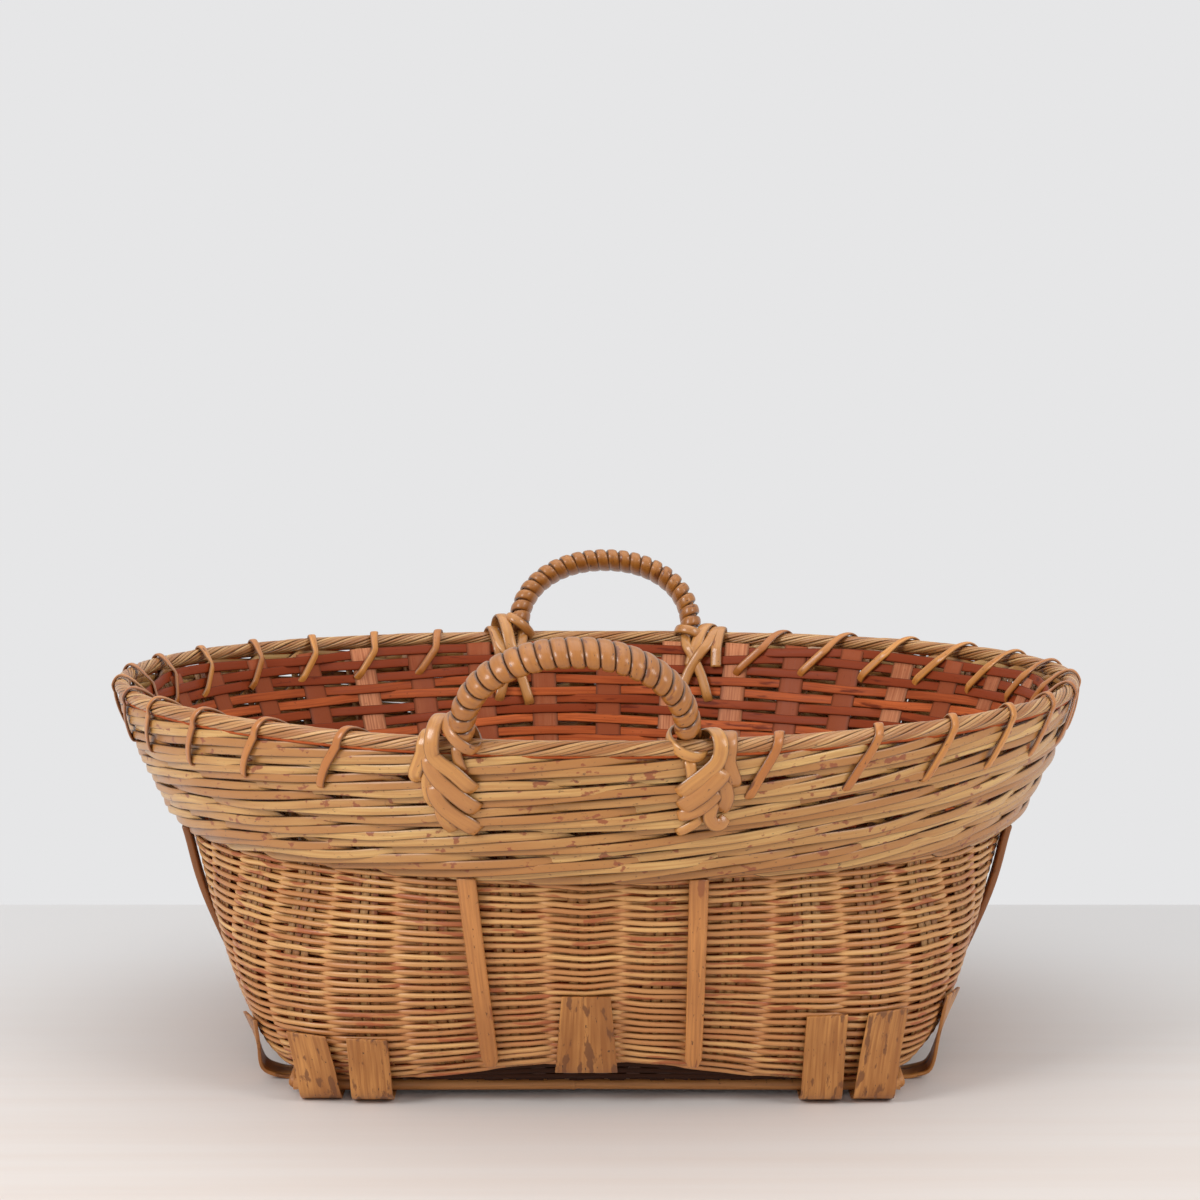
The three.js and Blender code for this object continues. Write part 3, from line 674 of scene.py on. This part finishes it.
# %%  Lining
LINING_ROWS = 26
LINING_TOP = 163.5
LINING_OFF = -5.6
LINING_SWING = 0.8
weaver = Weaver()
for stake in range(STAKES):
    angle = stake_angle(stake)
    z = np.linspace(foot_edge(angle) + 2, LINING_TOP - 0.5, 20)
    weaver.on_the_wall(angle, z, LINING_OFF, crowned(13.5, 0.8, 0.1), inside=True)
settle(weaver.piece("lining_stakes"), pale_stake, "lining")

count, angles = round_count(8)
weaver = Weaver()
for row in range(LINING_ROWS):
    share = (row + 0.5) / LINING_ROWS
    swing = signed_power(np.cos(np.pi * count) * (-1) ** row, 0.5)
    foot = foot_edge(angles) + 4
    z = foot + share * (LINING_TOP + rim_rise(angles) * share - foot) + waver(0.3, 3, 10)
    weaver.on_the_wall(angles, z, LINING_OFF - LINING_SWING * swing, flat_faced(4.9, 0.8),
                       inside=True, closed=True)
settle(weaver.piece("lining_weave"), lining_splint, "lining", "inner_lining")

# %% [markdown]
# The floor is a mat of flat splints, over one and under one both ways, cut to the rounded square.
# Where the foot arches up, the mat's edge turns up behind it: a few rows over short stakes
# close the gap below the lining. The mat, these rows and stakes are near-black painted shade,
# for the dark space under the basket.

# %%  Floor mat
MAT_STEP = 8.8
MAT_WIDTH = 8.2
MAT_HEIGHT = 9.5
MAT_LIFT = 0.62
MAT_MARGIN = 6.0
SHADE_FILL_ROWS = 4
mat_a, mat_b, mat_n = wall_size(WALL_FOOT, -MAT_MARGIN)
weaver = Weaver()
for way, (near, far) in enumerate(((mat_a, mat_b), (mat_b, mat_a))):
    lines_out = int(near // MAT_STEP)
    for k in range(-lines_out, lines_out + 1):
        place = k * MAT_STEP
        reach = far * max(1 - abs(place / near) ** mat_n, 0.02) ** (1 / mat_n) - 1
        run = np.linspace(-reach, reach, int(reach * 2 / MAT_STEP * 4) + 2)
        lift = MAT_LIFT * np.cos(np.pi * run / MAT_STEP) * (-1) ** (k + way)
        flat = [np.full_like(run, place), run][:: 1 - 2 * way]
        line = np.stack(flat + [MAT_HEIGHT + lift], -1)
        weaver.strand(line, np.tile(UP, (len(run), 1)), oval(MAT_WIDTH, 1.0, 4), lots.random())
# Short stakes and rows behind the arched foot, in the near-black mat finish: painted shade that
# fills the gap below the lining.
for stake in range(STAKES * 2):
    angle = stake_angle(stake / 2)
    z = np.linspace(MAT_HEIGHT, foot_edge(angle) + 6, 6)
    weaver.on_the_wall(angle, z, -6.2, oval(10, 0.7, 4))
for row in range(SHADE_FILL_ROWS):
    z = WALL_FOOT + (row + 0.3) / SHADE_FILL_ROWS * (foot_edge(angles) + 4 - WALL_FOOT)
    weaver.on_the_wall(angles, z, -5.4, oval(3.6, 0.7, 4), closed=True)
settle(weaver.piece("floor_mat"), mat_shade_finish, "weave", "base_mat")

# %% [markdown]
# Glossy cane lashes the rim down. One strip winds along each side: up the outside, over the rim,
# down the inside, and out again under the second course of the band. The strips are drawn on a
# sheet that wraps over the rim.

# %%  Smooth lines through stations
def smooth_line(stations, per_span):
    """A Catmull-Rom line through the stations."""
    p = np.vstack([2 * stations[0] - stations[1], stations, 2 * stations[-1] - stations[-2]])
    t = np.linspace(0, 1, per_span, endpoint=False)[:, None]
    spans = [0.5 * ((2 * b) + (c - a) * t + (2 * a - 5 * b + 4 * c - d) * t**2
                    + (3 * b - a - 3 * c + d) * t**3)
             for a, b, c, d in zip(p[:-3], p[1:-2], p[2:-1], p[3:])]
    return np.vstack(spans + [stations[-1:]])


def read_off(at, marks, rows):
    """Rows of numbers read off at places between their marks."""
    return np.stack([np.interp(at, marks, column) for column in rows.T], -1)


# %%  Places of the handles
HANDLE_SPAN = 93.0
HANDLE_HEIGHT = 37.0
HANDLE_LEAN = math.radians(23)
HANDLE_LIFT = 3.3
ARCH_SQUARENESS = 2.1
KNOT_SHIFT = 7.0
KNOT_WIDTH = 28.0
ROLL_RADIUS = 3.4
SHIFTS = {"front": -9.0, "rear": 4.0, "left": 0.0, "right": 0.0}


def handle_frame(side, shift):
    """Where a handle's middle stands on the rim, its leaning axes, legs and knots' angles."""
    legs = np.array([shift - HANDLE_SPAN / 2, shift + HANDLE_SPAN / 2])
    a, b, n = wall_size(ROLL_CENTRE, ROLL_SHIFT)
    y = np.mean(side * b * (1 - np.abs(legs / a) ** n) ** (1 / n))
    z = ROLL_CENTRE + rim_rise(np.arctan2(y, legs)).max() + ROLL_RADIUS + HANDLE_LIFT
    sine, cosine = math.sin(HANDLE_LEAN), math.cos(HANDLE_LEAN)
    knots = np.arctan2(y, legs + np.array([-KNOT_SHIFT, KNOT_SHIFT])) % TURN
    return {"foot": np.array([shift, y, z]), "up": np.array([0, side * sine, cosine]),
            "out": np.array([0, side * cosine, -sine]), "legs": legs, "knots": knots}


handles = {"front": handle_frame(-1, SHIFTS["front"]), "rear": handle_frame(1, SHIFTS["rear"])}

# %%  A sheet that wraps over the rim
def rim_sheet(angle, run, lift):
    """Points over the rim: run goes up outside (to -3), over the top (4) and down inside (from 11),
    and lift stands out of the sheet."""
    ring = ROLL_RADIUS + 0.9 + lift
    turned = np.clip((run + 3) / 14, 0, 1) * np.pi
    down = np.minimum(run + 3, 0)
    share = 1 + (down - 3) / (ROLL_CENTRE - BAND_BOTTOM)
    outside = band_offset(share) + 0.9 + lift - np.exp(down / 4)
    inward = smooth((run - 4) / 9) * (ROLL_SHIFT - ring + 7.3 + lift)
    off = np.where(run < -3, outside, ROLL_SHIFT + ring * np.cos(turned) - inward)
    height = -3 + (ring + 3) * np.sin(turned) + down - np.maximum(run - 11, 0)
    centre = ROLL_CENTRE + rim_rise(angle)
    points = on_wall(angle, centre + np.minimum(height, 0), off)
    points[:, 2] = centre + height
    return points


def rim_radius(angle):
    return np.linalg.norm(on_wall(angle, ROLL_CENTRE)[:2])


def over_rim(weaver, stations, middle_angle, profile):
    """Lays a strip on the sheet; each station is (mm sideways, run, lift)."""
    sideways, run, lift = smooth_line(np.array(stations, float), 7).T
    angle = middle_angle + sideways / rim_radius(middle_angle)
    outs = rim_sheet(angle, run, lift + 0.5) - rim_sheet(angle, run, lift - 0.5)
    weaver.strand(rim_sheet(angle, run, lift), unit(outs), profile, lots.random())


# %%  Rim lacing
LACE_LOOPS = 13
LACE_WAY = [(0.02, -22.5, -2.6), (0.03, -20.5, -0.4), (0.13, -13, 0.1), (0.25, -6, 0.1),
            (0.33, -1, 0.2), (0.4, 4, 0.2), (0.5, 8, 0.2), (0.6, 12, 0.3), (0.74, 17, 0.4),
            (0.88, 22, 0.2), (0.93, 24, -0.6), (0.97, 26, -2)]
TOP_SHARE = 0.4
# Each hand: from which knot to which, the way its shifts go, and the loops' shifts in the photo
LACED = {"left": ("rear", "front", 0, -1, [0] * 8 + [-2, 4, 5, 4, -1]),
         "right": ("front", "rear", 1, 1, [-6, 3, 5, 5, 3] + [0] * 8)}
margin = (KNOT_WIDTH / 2 + 9) / RIM_HALF[1]
for hand, (first, last, knot, way, shifts) in LACED.items():
    start = handles[first]["knots"][knot] + margin
    end = handles[last]["knots"][knot] + knot * TURN - margin
    weaver = Weaver()
    for loop in range(LACE_LOOPS):
        middle_angle = start + (loop + TOP_SHARE) / LACE_LOOPS * (end - start)
        radius = rim_radius(middle_angle)
        middle_angle += way * shifts[loop] / radius
        pitch = (end - start) / LACE_LOOPS * radius
        lean = lots.uniform(0.85, 1.1)
        stations = [((share - TOP_SHARE) * pitch * lean, run, lift)
                    for share, run, lift in LACE_WAY]
        over_rim(weaver, stations, middle_angle, crowned(4.4, 1.7, 0.25))
    settle(weaver.piece(f"{hand}_lashing"), lacing_cane, "cane", f"{hand}_rim_lacing")

# %% [markdown]
# Each handle is rods bent to an arch under a cane strip wound round them. The turns swell like
# beads, wide on the outer side of the arch and pressed together on the inner.

# %%  Handles
WRAP_TURNS = 22
WRAP_STEPS = 20
WRAP_SHARE = 0.968
WRAP_THICKNESS = 2.2
WRAP_TONE = 0.37
LEG_TUCK = 3.5
CORE_ACROSS = 7.0
CORE_DEEP = 13.4
ARCH_STEPS = 400


def arch_line(place):
    """Evenly spaced points along a handle's middle line, and its length."""
    t = np.linspace(0, np.pi, ARCH_STEPS)
    power = 2 / ARCH_SQUARENESS
    rise = HANDLE_HEIGHT * np.abs(np.sin(t)) ** power
    line = place["foot"] + rise[:, None] * place["up"]
    line[:, 0] -= HANDLE_SPAN / 2 * signed_power(np.cos(t), power)
    tuck = place["up"] * LEG_TUCK
    line = np.vstack([line[:1] - tuck, line, line[-1:] - tuck])
    along = travel(line)
    return read_off(np.linspace(0, along[-1], ARCH_STEPS), along, line), along[-1]


for side, place in handles.items():
    line, length = arch_line(place)
    ahead = unit(np.gradient(line, axis=0))
    across = unit(np.cross(np.broadcast_to(place["out"], ahead.shape), ahead))
    weaver = Weaver()
    weaver.strand(line[::10], across[::10], oval(CORE_DEEP, CORE_ACROSS, 10), lots.random())
    settle(weaver.piece(f"{side}_handle_rods"), runner_bamboo, "core", f"{side}_handle_core")
    turns = np.linspace(0, WRAP_TURNS, WRAP_TURNS * WRAP_STEPS + 1)
    at = ((1 - WRAP_SHARE) / 2 + WRAP_SHARE * turns / WRAP_TURNS) * (ARCH_STEPS - 1)
    centre, forward, sideways = (read_off(at, np.arange(ARCH_STEPS), rows)
                                 for rows in (line, ahead, across))
    spin = TURN * turns[:, None]
    reach = np.cos(spin) * (CORE_ACROSS / 2 + WRAP_THICKNESS / 2)
    around = (unit(sideways) * reach
              + place["out"] * np.sin(spin) * (CORE_DEEP / 2 + WRAP_THICKNESS / 2))
    widths = length * WRAP_SHARE / WRAP_TURNS * (1 + reach[:, 0] / 42) * 0.97
    outs = unit(np.cross(np.gradient(centre + around, axis=0), unit(forward)))
    outs *= np.sign(np.sum(outs * around, axis=1, keepdims=True))
    weaver = Weaver()
    weaver.strand(centre + around, outs,
                  np.stack([crowned(width, WRAP_THICKNESS, 0.55) for width in widths]), WRAP_TONE)
    settle(weaver.piece(f"{side}_handle_winding"), winding_cane, "cane", f"{side}_handle_wrap")

# %% [markdown]
# A herringbone knot ties each handle leg to the rim and the band. Flat cane straps come over the
# rim, cross down the outside, and tuck in between the rods. They lie on the sheet that the lacing
# lies on, each with its own height above it, so that one passes over the next.

# %%  Straps of the knots
# Each strap has a width and stations on the sheet: mm away from the handle, run, lift
# Each hand first has its sign on X, and the drop, half width and tilt of the ring round its leg
KNOTS = {"left": (-1, 1.0, 6.8, 0.75, [
    (4.8, [(-4.6, -1, -0.5), (-5, -3, 0.6), (-6, -7, 0.5), (-6.6, -9.5, -1)]),
    (5.0, [(6.6, -8.5, -0.8), (7.5, -11.5, 0.6), (8.2, -17, 0.8), (7.9, -22, 0.5),
           (7, -25.5, -1.5)]),
    (5.6, [(4.4, -21, -0.8), (3.8, -25, 0.6), (3.4, -30, 0.8), (1.4, -34, 0.5),
           (0.4, -36.5, -1.5)]),
    (6.4, [(6, 22, 0.5), (7, 14, 0.8), (7.6, 8, 1), (7.9, 4, 1.4), (8.4, 0, 1.4), (9.2, -3.5, 1.4),
           (11, -8, 1.3), (12.8, -12.5, 0.9), (12.4, -15, -1.5)]),
    (7.2, [(5.4, -15, -1), (4.6, -18, 2.4), (3.4, -22.5, 2.8), (0.2, -27, 2.4), (-4.5, -31, 1.8),
           (-9, -34.4, 0.8), (-10.6, -36, -1.8)]),
    (7.2, [(6.2, -3, -1.2), (5.9, -5, 2.2), (5, -9, 3.2), (2.2, -14, 3), (-2, -18.3, 2.4),
           (-6.3, -22.3, 1.8), (-10.2, -25.4, 0.8), (-11.5, -26.6, -1.8)]),
    (6.8, [(-3, 22, 0.5), (0, 14, 3), (2.2, 8, 6.5), (3, 4, 8), (3.6, 0, 6), (3.4, -3.5, 4.2),
           (1, -6.5, 3.4), (-3.1, -9.7, 2.6), (-6.5, -13, 2), (-9.6, -16.4, 1), (-11, -18, -1.8)]),
]), "right": (1, 6.0, 7.8, 0.35, [
    (5.0, [(-7, -5, -0.5), (-6.6, -7.5, 0.6), (-6, -11.5, 0.5), (-5.6, -14, -1)]),
    (6.2, [(12, 22, 0.5), (11.5, 14, 0.8), (11, 8, 1), (10.4, 4, 1.2), (9.3, -1, 1), (8.8, -6, 1),
           (10.2, -10.5, 1), (11.8, -14.5, 0.5), (12, -16.5, -1.5)]),
    (6.4, [(6.8, -12.5, -0.6), (7.6, -16, 1), (8.8, -21, 1.2), (8.2, -25, 0.4), (7.4, -27, -1.5)]),
    (4.2, [(-0.6, -29, -1), (-2.4, -31, 1), (-6, -33.6, 1.2), (-8.8, -35.2, 0.4),
           (-10, -36, -1.5)]),
    (6.0, [(4.2, -23, -0.5), (2.6, -26, 1.4), (2.2, -29.6, 2), (4.4, -32.6, 1.8), (7.6, -32.6, 1),
           (9.6, -30.4, -1.2)]),
    (5.2, [(5.5, -17.5, -0.6), (3.6, -20.5, 1.6), (-1, -25.2, 1.8), (-5.6, -27.6, 1.2),
           (-8.6, -28.4, 0.2), (-10, -28.8, -1.5)]),
    (7.6, [(7, -8, -1.2), (5.9, -10.5, 2.2), (3, -13.8, 3.2), (-1.5, -18.5, 2.8), (-5.8, -22, 1.8),
           (-8.4, -24, 0.6), (-9.6, -25, -1.8)]),
    (6.8, [(-3, 22, 0.5), (-1, 14, 1.5), (1, 8, 2.5), (3, 4.5, 2.8), (4.8, 1, 2.6), (5, -2, 2.4),
           (3, -6.5, 2.6), (-1.8, -11.2, 2.4), (-6.4, -15, 1.8), (-9.2, -17.6, 0.8),
           (-10.6, -18.8, -1.8)]),
])}
INNER_CROSS = [
    (5.6, [(-8, 3, 0.8), (-7, 9, 1.2), (-2, 16, 1.6), (4, 26, 1.4), (8, 36, 0.6), (9, 40, -1.5)]),
    (5.6, [(8, 3, 1), (7, 9, 1.6), (2, 16, 2.6), (-4, 26, 1.4), (-8, 38, 0.6), (-9, 42, -1.5)]),
]

# %%  Knots
spin = np.linspace(0, TURN, 32, endpoint=False)
for side, place in handles.items():
    for end, (name, (hand, drop, half, tilt, straps)) in enumerate(KNOTS.items()):
        outward = hand if side == "front" else -hand
        weaver = Weaver()
        for width, stations in straps + INNER_CROSS:
            laid = [(outward * away, run, lift) for away, run, lift in stations]
            over_rim(weaver, laid, place["knots"][end], crowned(width, 1.9, 0.4))
        foot = place["foot"] * (0, 1, 1) + [place["legs"][end], 0, 0] - place["up"] * drop
        ring = (foot + np.outer(np.cos(spin), [half, 0, -tilt * half])
                + np.outer(np.sin(spin), place["out"]) * 9.8)
        weaver.strand(ring, unit(ring - foot), crowned(5.4, 2.2, 0.6), lots.random(), closed=True)
        settle(weaver.piece(f"{side}_{name}_lashed_knot"), lash_cane, "cane",
               f"{side}_{name}_knot")

# %% [markdown]
# Staves, straps and tongues are modelled by hand: a box is cut along its length, its edges are
# rounded, and it is laid on the wall. Its flat shape is kept first as the lay map, for the grain.


# %%  A flat splint
def mode(kind):
    bpy.ops.object.mode_set(mode=kind)


def named(name, size=(1, 1, 1)):
    """Names the shape just added, and applies its place, turn and scale."""
    made = bpy.context.object
    made.name = name
    made.scale = size
    bpy.ops.object.transform_apply(location=True, rotation=True, scale=True)
    return made


def flat_splint(name, length, width, thickness, cuts, rounding):
    """A straight splint, its length along Y from the origin; its sizes are in millimetres."""
    bpy.ops.mesh.primitive_cube_add(size=1, location=(0, length * MM / 2, 0))
    made = named(name, (width * MM, length * MM, thickness * MM))
    for axis, number in ((1, cuts), (0, 3)):
        mode("EDIT")
        bpy.ops.mesh.select_mode(type="EDGE")
        bpy.ops.mesh.select_all(action="DESELECT")
        mode("OBJECT")
        for edge in made.data.edges:
            first, second = (made.data.vertices[k].co for k in edge.vertices)
            edge.select = abs(first[axis] - second[axis]) > 0.1 * MM
        mode("EDIT")
        bpy.ops.mesh.subdivide(number_cuts=number)
        mode("OBJECT")
    bevel = made.modifiers.new("rounded", "BEVEL")
    bevel.width = rounding * MM
    bevel.segments = 2
    bevel.limit_method = "ANGLE"
    bpy.ops.object.modifier_apply(modifier="rounded")
    keep_lay(made)
    return made


def keep_lay(made):
    """Stores the flat shape as the lay map, and one tone for the piece."""
    mesh = made.data
    flat = np.array([v.co for v in mesh.vertices])
    corners = np.array([loop.vertex_index for loop in mesh.loops])
    laid = np.stack([flat[corners, 1], flat[corners, 0] + flat[corners, 2]], -1)
    for layer in list(mesh.uv_layers):
        mesh.uv_layers.remove(layer)
    mesh.uv_layers.new(name="lay").data.foreach_set("uv", laid.ravel())
    tones = np.full(len(mesh.vertices), lots.random())
    mesh.attributes.new("tone", "FLOAT", "POINT").data.foreach_set("value", tones)


def reshape(made, move):
    """Moves every point of a piece by a function of its flat place in millimetres."""
    flat = np.array([v.co for v in made.data.vertices]) / MM
    made.data.vertices.foreach_set("co", (move(flat) * MM).ravel())
    made.data.update()


def flat_size(made):
    """Width, length and thickness of a piece in millimetres."""
    return [size / MM for size in made.dimensions]


def turn_faces_out():
    mode("EDIT")
    bpy.ops.mesh.select_all(action="SELECT")
    bpy.ops.mesh.normals_make_consistent(inside=False)
    mode("OBJECT")


# %%  Sides of the basket
WAYS = {"front": (0, -1), "rear": (0, 1), "left": (-1, 0), "right": (1, 0)}
ENDS = ("left", "right")


def foot_sizes(side):
    """Half the width of a side's foot, and how far it stands out."""
    return FOOT_HALF[::-1] if side in ENDS else FOOT_HALF


def side_reach(side, along, z, off=0.0):
    """How far the wall of a side stands out at a sideways place and height."""
    a, b, n = wall_size(z, off)
    near, far = (b, a) if side in ENDS else (a, b)
    return far * (1 - np.abs(along / near) ** n) ** (1 / n)


def side_point(side, along, reach, z):
    """along is measured on +X for the front and rear, and on +Y for the ends."""
    x, y = WAYS[side]
    return np.stack(np.broadcast_arrays(x * reach if x else along, y * reach if y else along, z),
                    axis=-1)


def hand_of(side):
    """Which way along points for an eye that looks at a side from outside."""
    return 1 if side in ("front", "right") else -1


def two_hands(side):
    """The two halves of a side, each with its sign on along and its name."""
    return ((-1, "front"), (1, "rear")) if side in ENDS else ((-1, "left"), (1, "right"))


# %% [markdown]
# Two staves run down each side from under the band and end rounded near the foot. The wedge-shaped
# tongue in the middle is tucked under the weave at its top.

# %%  Staves and tongues
SEAT_GAP = 0.7
STAVE_APART = 49.0


def lay_upright(made, side, foot, top, widths, crown):
    """Lays a flat splint on a side, from foot (along, z) to top (along, z)."""
    width, length, thickness = flat_size(made)

    def move(flat):
        share, across = flat[:, 1] / length, flat[:, 0] / (width / 2)
        z = foot[1] + share * (top[1] - foot[1])
        middle = foot[0] + share * (top[0] - foot[0])
        half = (widths[0] + share * (widths[1] - widths[0])) / 2
        along = middle + across * half * hand_of(side)
        dome = crown * (1 - across**2) * (flat[:, 2] > 0)
        off = SEAT_GAP + thickness / 2 + flat[:, 2] + dome
        seat = middle if side in ENDS else along
        return side_point(side, along, side_reach(side, seat, z, off), z)

    reshape(made, move)
    made.data.shade_smooth()


def round_foot(made):
    """Rounds the lower end of a splint, as a knife would."""
    half = flat_size(made)[0] / 2

    def move(flat):
        fall = np.clip(1 - flat[:, 1] / half, 0, 1)
        flat[:, 0] *= np.sqrt(np.clip(1 - fall**2 * 0.85, 0.02, 1))
        return flat

    reshape(made, move)


for side, shift in SHIFTS.items():
    for hand, name in two_hands(side):
        at = shift + (3.0 if shift else 0.0) + hand * STAVE_APART
        inset = 5.0 if side in ENDS else 9.5 if at * WAYS[side][1] > 0 else 1.5
        stave = flat_splint(f"{side}_{name}_rod", length=84.0, width=8.2, thickness=3.0,
                            cuts=20, rounding=0.8)
        round_foot(stave)
        lay_upright(stave, side, foot=(at - hand * inset, 18.5), top=(at, 105.5),
                    widths=(7.2, 8.4), crown=0.5)
        # The staves on the ends take the darker copy of the bamboo: painted shade.
        settle(stave, end_stave_painted_shade if side in ENDS else stave_bamboo, "stave",
               f"{side}_{name}_stave")
    tongue = flat_splint(f"{side}_wedge", length=36.0, width=24.0, thickness=1.6,
                         cuts=8, rounding=0.3)
    lay_upright(tongue, side, foot=(shift / 2, 15.5), top=(shift / 2, 52), widths=(27, 21),
                crown=0.3)
    settle(tongue, strap_bamboo, "strap", f"{side}_tongue")

# %% [markdown]
# The basket stands on wide splints. Each leaves the weave, runs down clear of it, and bends under
# the mat. It is the same flat splint again, sent along a bent line.

# %%  Foot straps
STRAP_WIDTH = 18.0
STRAP_THICKNESS = 1.6
STRAP_LENGTH = 70.0
RUNNER_INSET = 18.0


def strap_route(side, place, top):
    """A strap's bent line from under the mat to its top, as (reach, z, share of its draw), and
    the slope of the wall where its top leans on it."""
    line = foot_sizes(side)[1]
    foot = line - RUNNER_INSET
    first, middle, last = (float(side_reach(side, place + k, top, 0.3))
                           for k in (-STRAP_WIDTH / 2, 0, STRAP_WIDTH / 2))
    top_reach = max(middle, (first + last) / 2) + 0.3 + STRAP_THICKNESS / 2
    knee = min(top_reach - 2, line - 1)
    return np.array([
        (foot - 22, 0.85, 1), (foot + 2, 0.85, 1), ((foot + 2 + knee) / 2 + 1, 1.85, 1),
        (knee, 6, 0.9), (knee + 0.5 * (top_reach - knee), (6 + top) / 2, 0.5),
        (top_reach, top, 0)]), (first - last) / STRAP_WIDTH


def lay_strap(made, side, place, top, draw):
    """Sends a flat splint along its route; draw is how far its foot is drawn to the corner."""
    route, slope = strap_route(side, place, top)
    path = smooth_line(route, 10)
    path[:, 1] = np.maximum(path[:, 1], STRAP_THICKNESS / 2 + 0.05)
    travelled = travel(path[:, :2])
    ways = unit(np.gradient(path[:, :2], axis=0))

    def move(flat):
        at = flat[:, 1] / flat_size(made)[1] * travelled[-1]
        reach, z, share = read_off(at, travelled, path).T
        level, rise = read_off(at, travelled, ways).T
        across = flat[:, 0] * hand_of(side)
        reach = reach - slope * (1 - share) * across + flat[:, 2] * rise
        return side_point(side, place - share * draw + across, reach, z - flat[:, 2] * level)

    reshape(made, move)
    made.data.shade_smooth()


for side in WAYS:
    for hand, name in two_hands(side):
        top = 31.0 if side == "left" or (side != "right" and hand < 0) else 42.0
        straps = ([("foot_strap", 36, 17.0)] if side in ENDS
                  else [("foot_strap", 52, 1.8), ("corner_strap", 25, 6.0)])
        for kind, inset, draw in straps:
            strap = flat_splint(f"{side}_{name}_{kind}_splint", STRAP_LENGTH, STRAP_WIDTH,
                                STRAP_THICKNESS, cuts=40, rounding=0.35)
            lay_strap(strap, side, hand * (foot_sizes(side)[0] - inset), top, hand * draw)
            settle(strap, strap_bamboo, "strap", f"{side}_{name}_{kind}")

# %% [markdown]
# Thin bamboo rods run under the mat's edges. Each is a circle drawn out step by step, with a raised
# ring at each node.


# %%  Runners
RUNNER_RADIUS = 2.5
RUNNER_HEIGHT = 5.1
BUTT_GAP = 2.9


def bamboo_rod(name, length, nodes):
    """A rod along Y made of extruded rings; nodes are the shares of its length where it swells."""
    ridges = [n + step for n in nodes for step in (-0.006, -0.002, 0, 0.002, 0.006)]
    rings = sorted({0.0, 1.0, *np.linspace(0.1, 0.9, 9).round(3), *ridges})
    bpy.ops.mesh.primitive_circle_add(
        vertices=14, radius=RUNNER_RADIUS * MM, fill_type="NGON",
        rotation=(math.pi / 2, 0, 0), location=(0, -length * MM / 2, 0))
    made = named(name)
    mode("EDIT")
    bpy.ops.mesh.select_all(action="SELECT")
    for last, here in zip(rings[:-1], rings[1:]):
        bpy.ops.mesh.extrude_region_move(
            TRANSFORM_OT_translate={"value": (0, (here - last) * length * MM, 0)})
    turn_faces_out()

    def swell(flat):
        share = flat[:, 1] / length + 0.5
        ridge = sum(0.14 * np.exp(-((share - n) / 0.0022) ** 2)
                    - 0.07 * np.exp(-((share - n - 0.006) / 0.003) ** 2) for n in nodes)
        flat[:, ::2] *= 1 + ridge[:, None]
        flat[:, 0] += 0.5 * np.sin(share * 9)
        return flat

    reshape(made, swell)
    keep_lay(made)
    made.data.shade_smooth()
    return made


for side in WAYS:
    half, reach = (size - RUNNER_INSET for size in foot_sizes(side))
    half -= BUTT_GAP if side in ENDS else 0
    nodes = [0.462] if side == "front" else [0.37, 0.81]
    rod = bamboo_rod(f"{side}_bamboo_rod", 2 * half, nodes)
    reshape(rod, lambda flat: side_point(side, flat[:, 1], reach + flat[:, 0],
                                         RUNNER_HEIGHT + flat[:, 2]))
    turn_faces_out()
    settle(rod, runner_bamboo, "bamboo", f"{side}_runner")
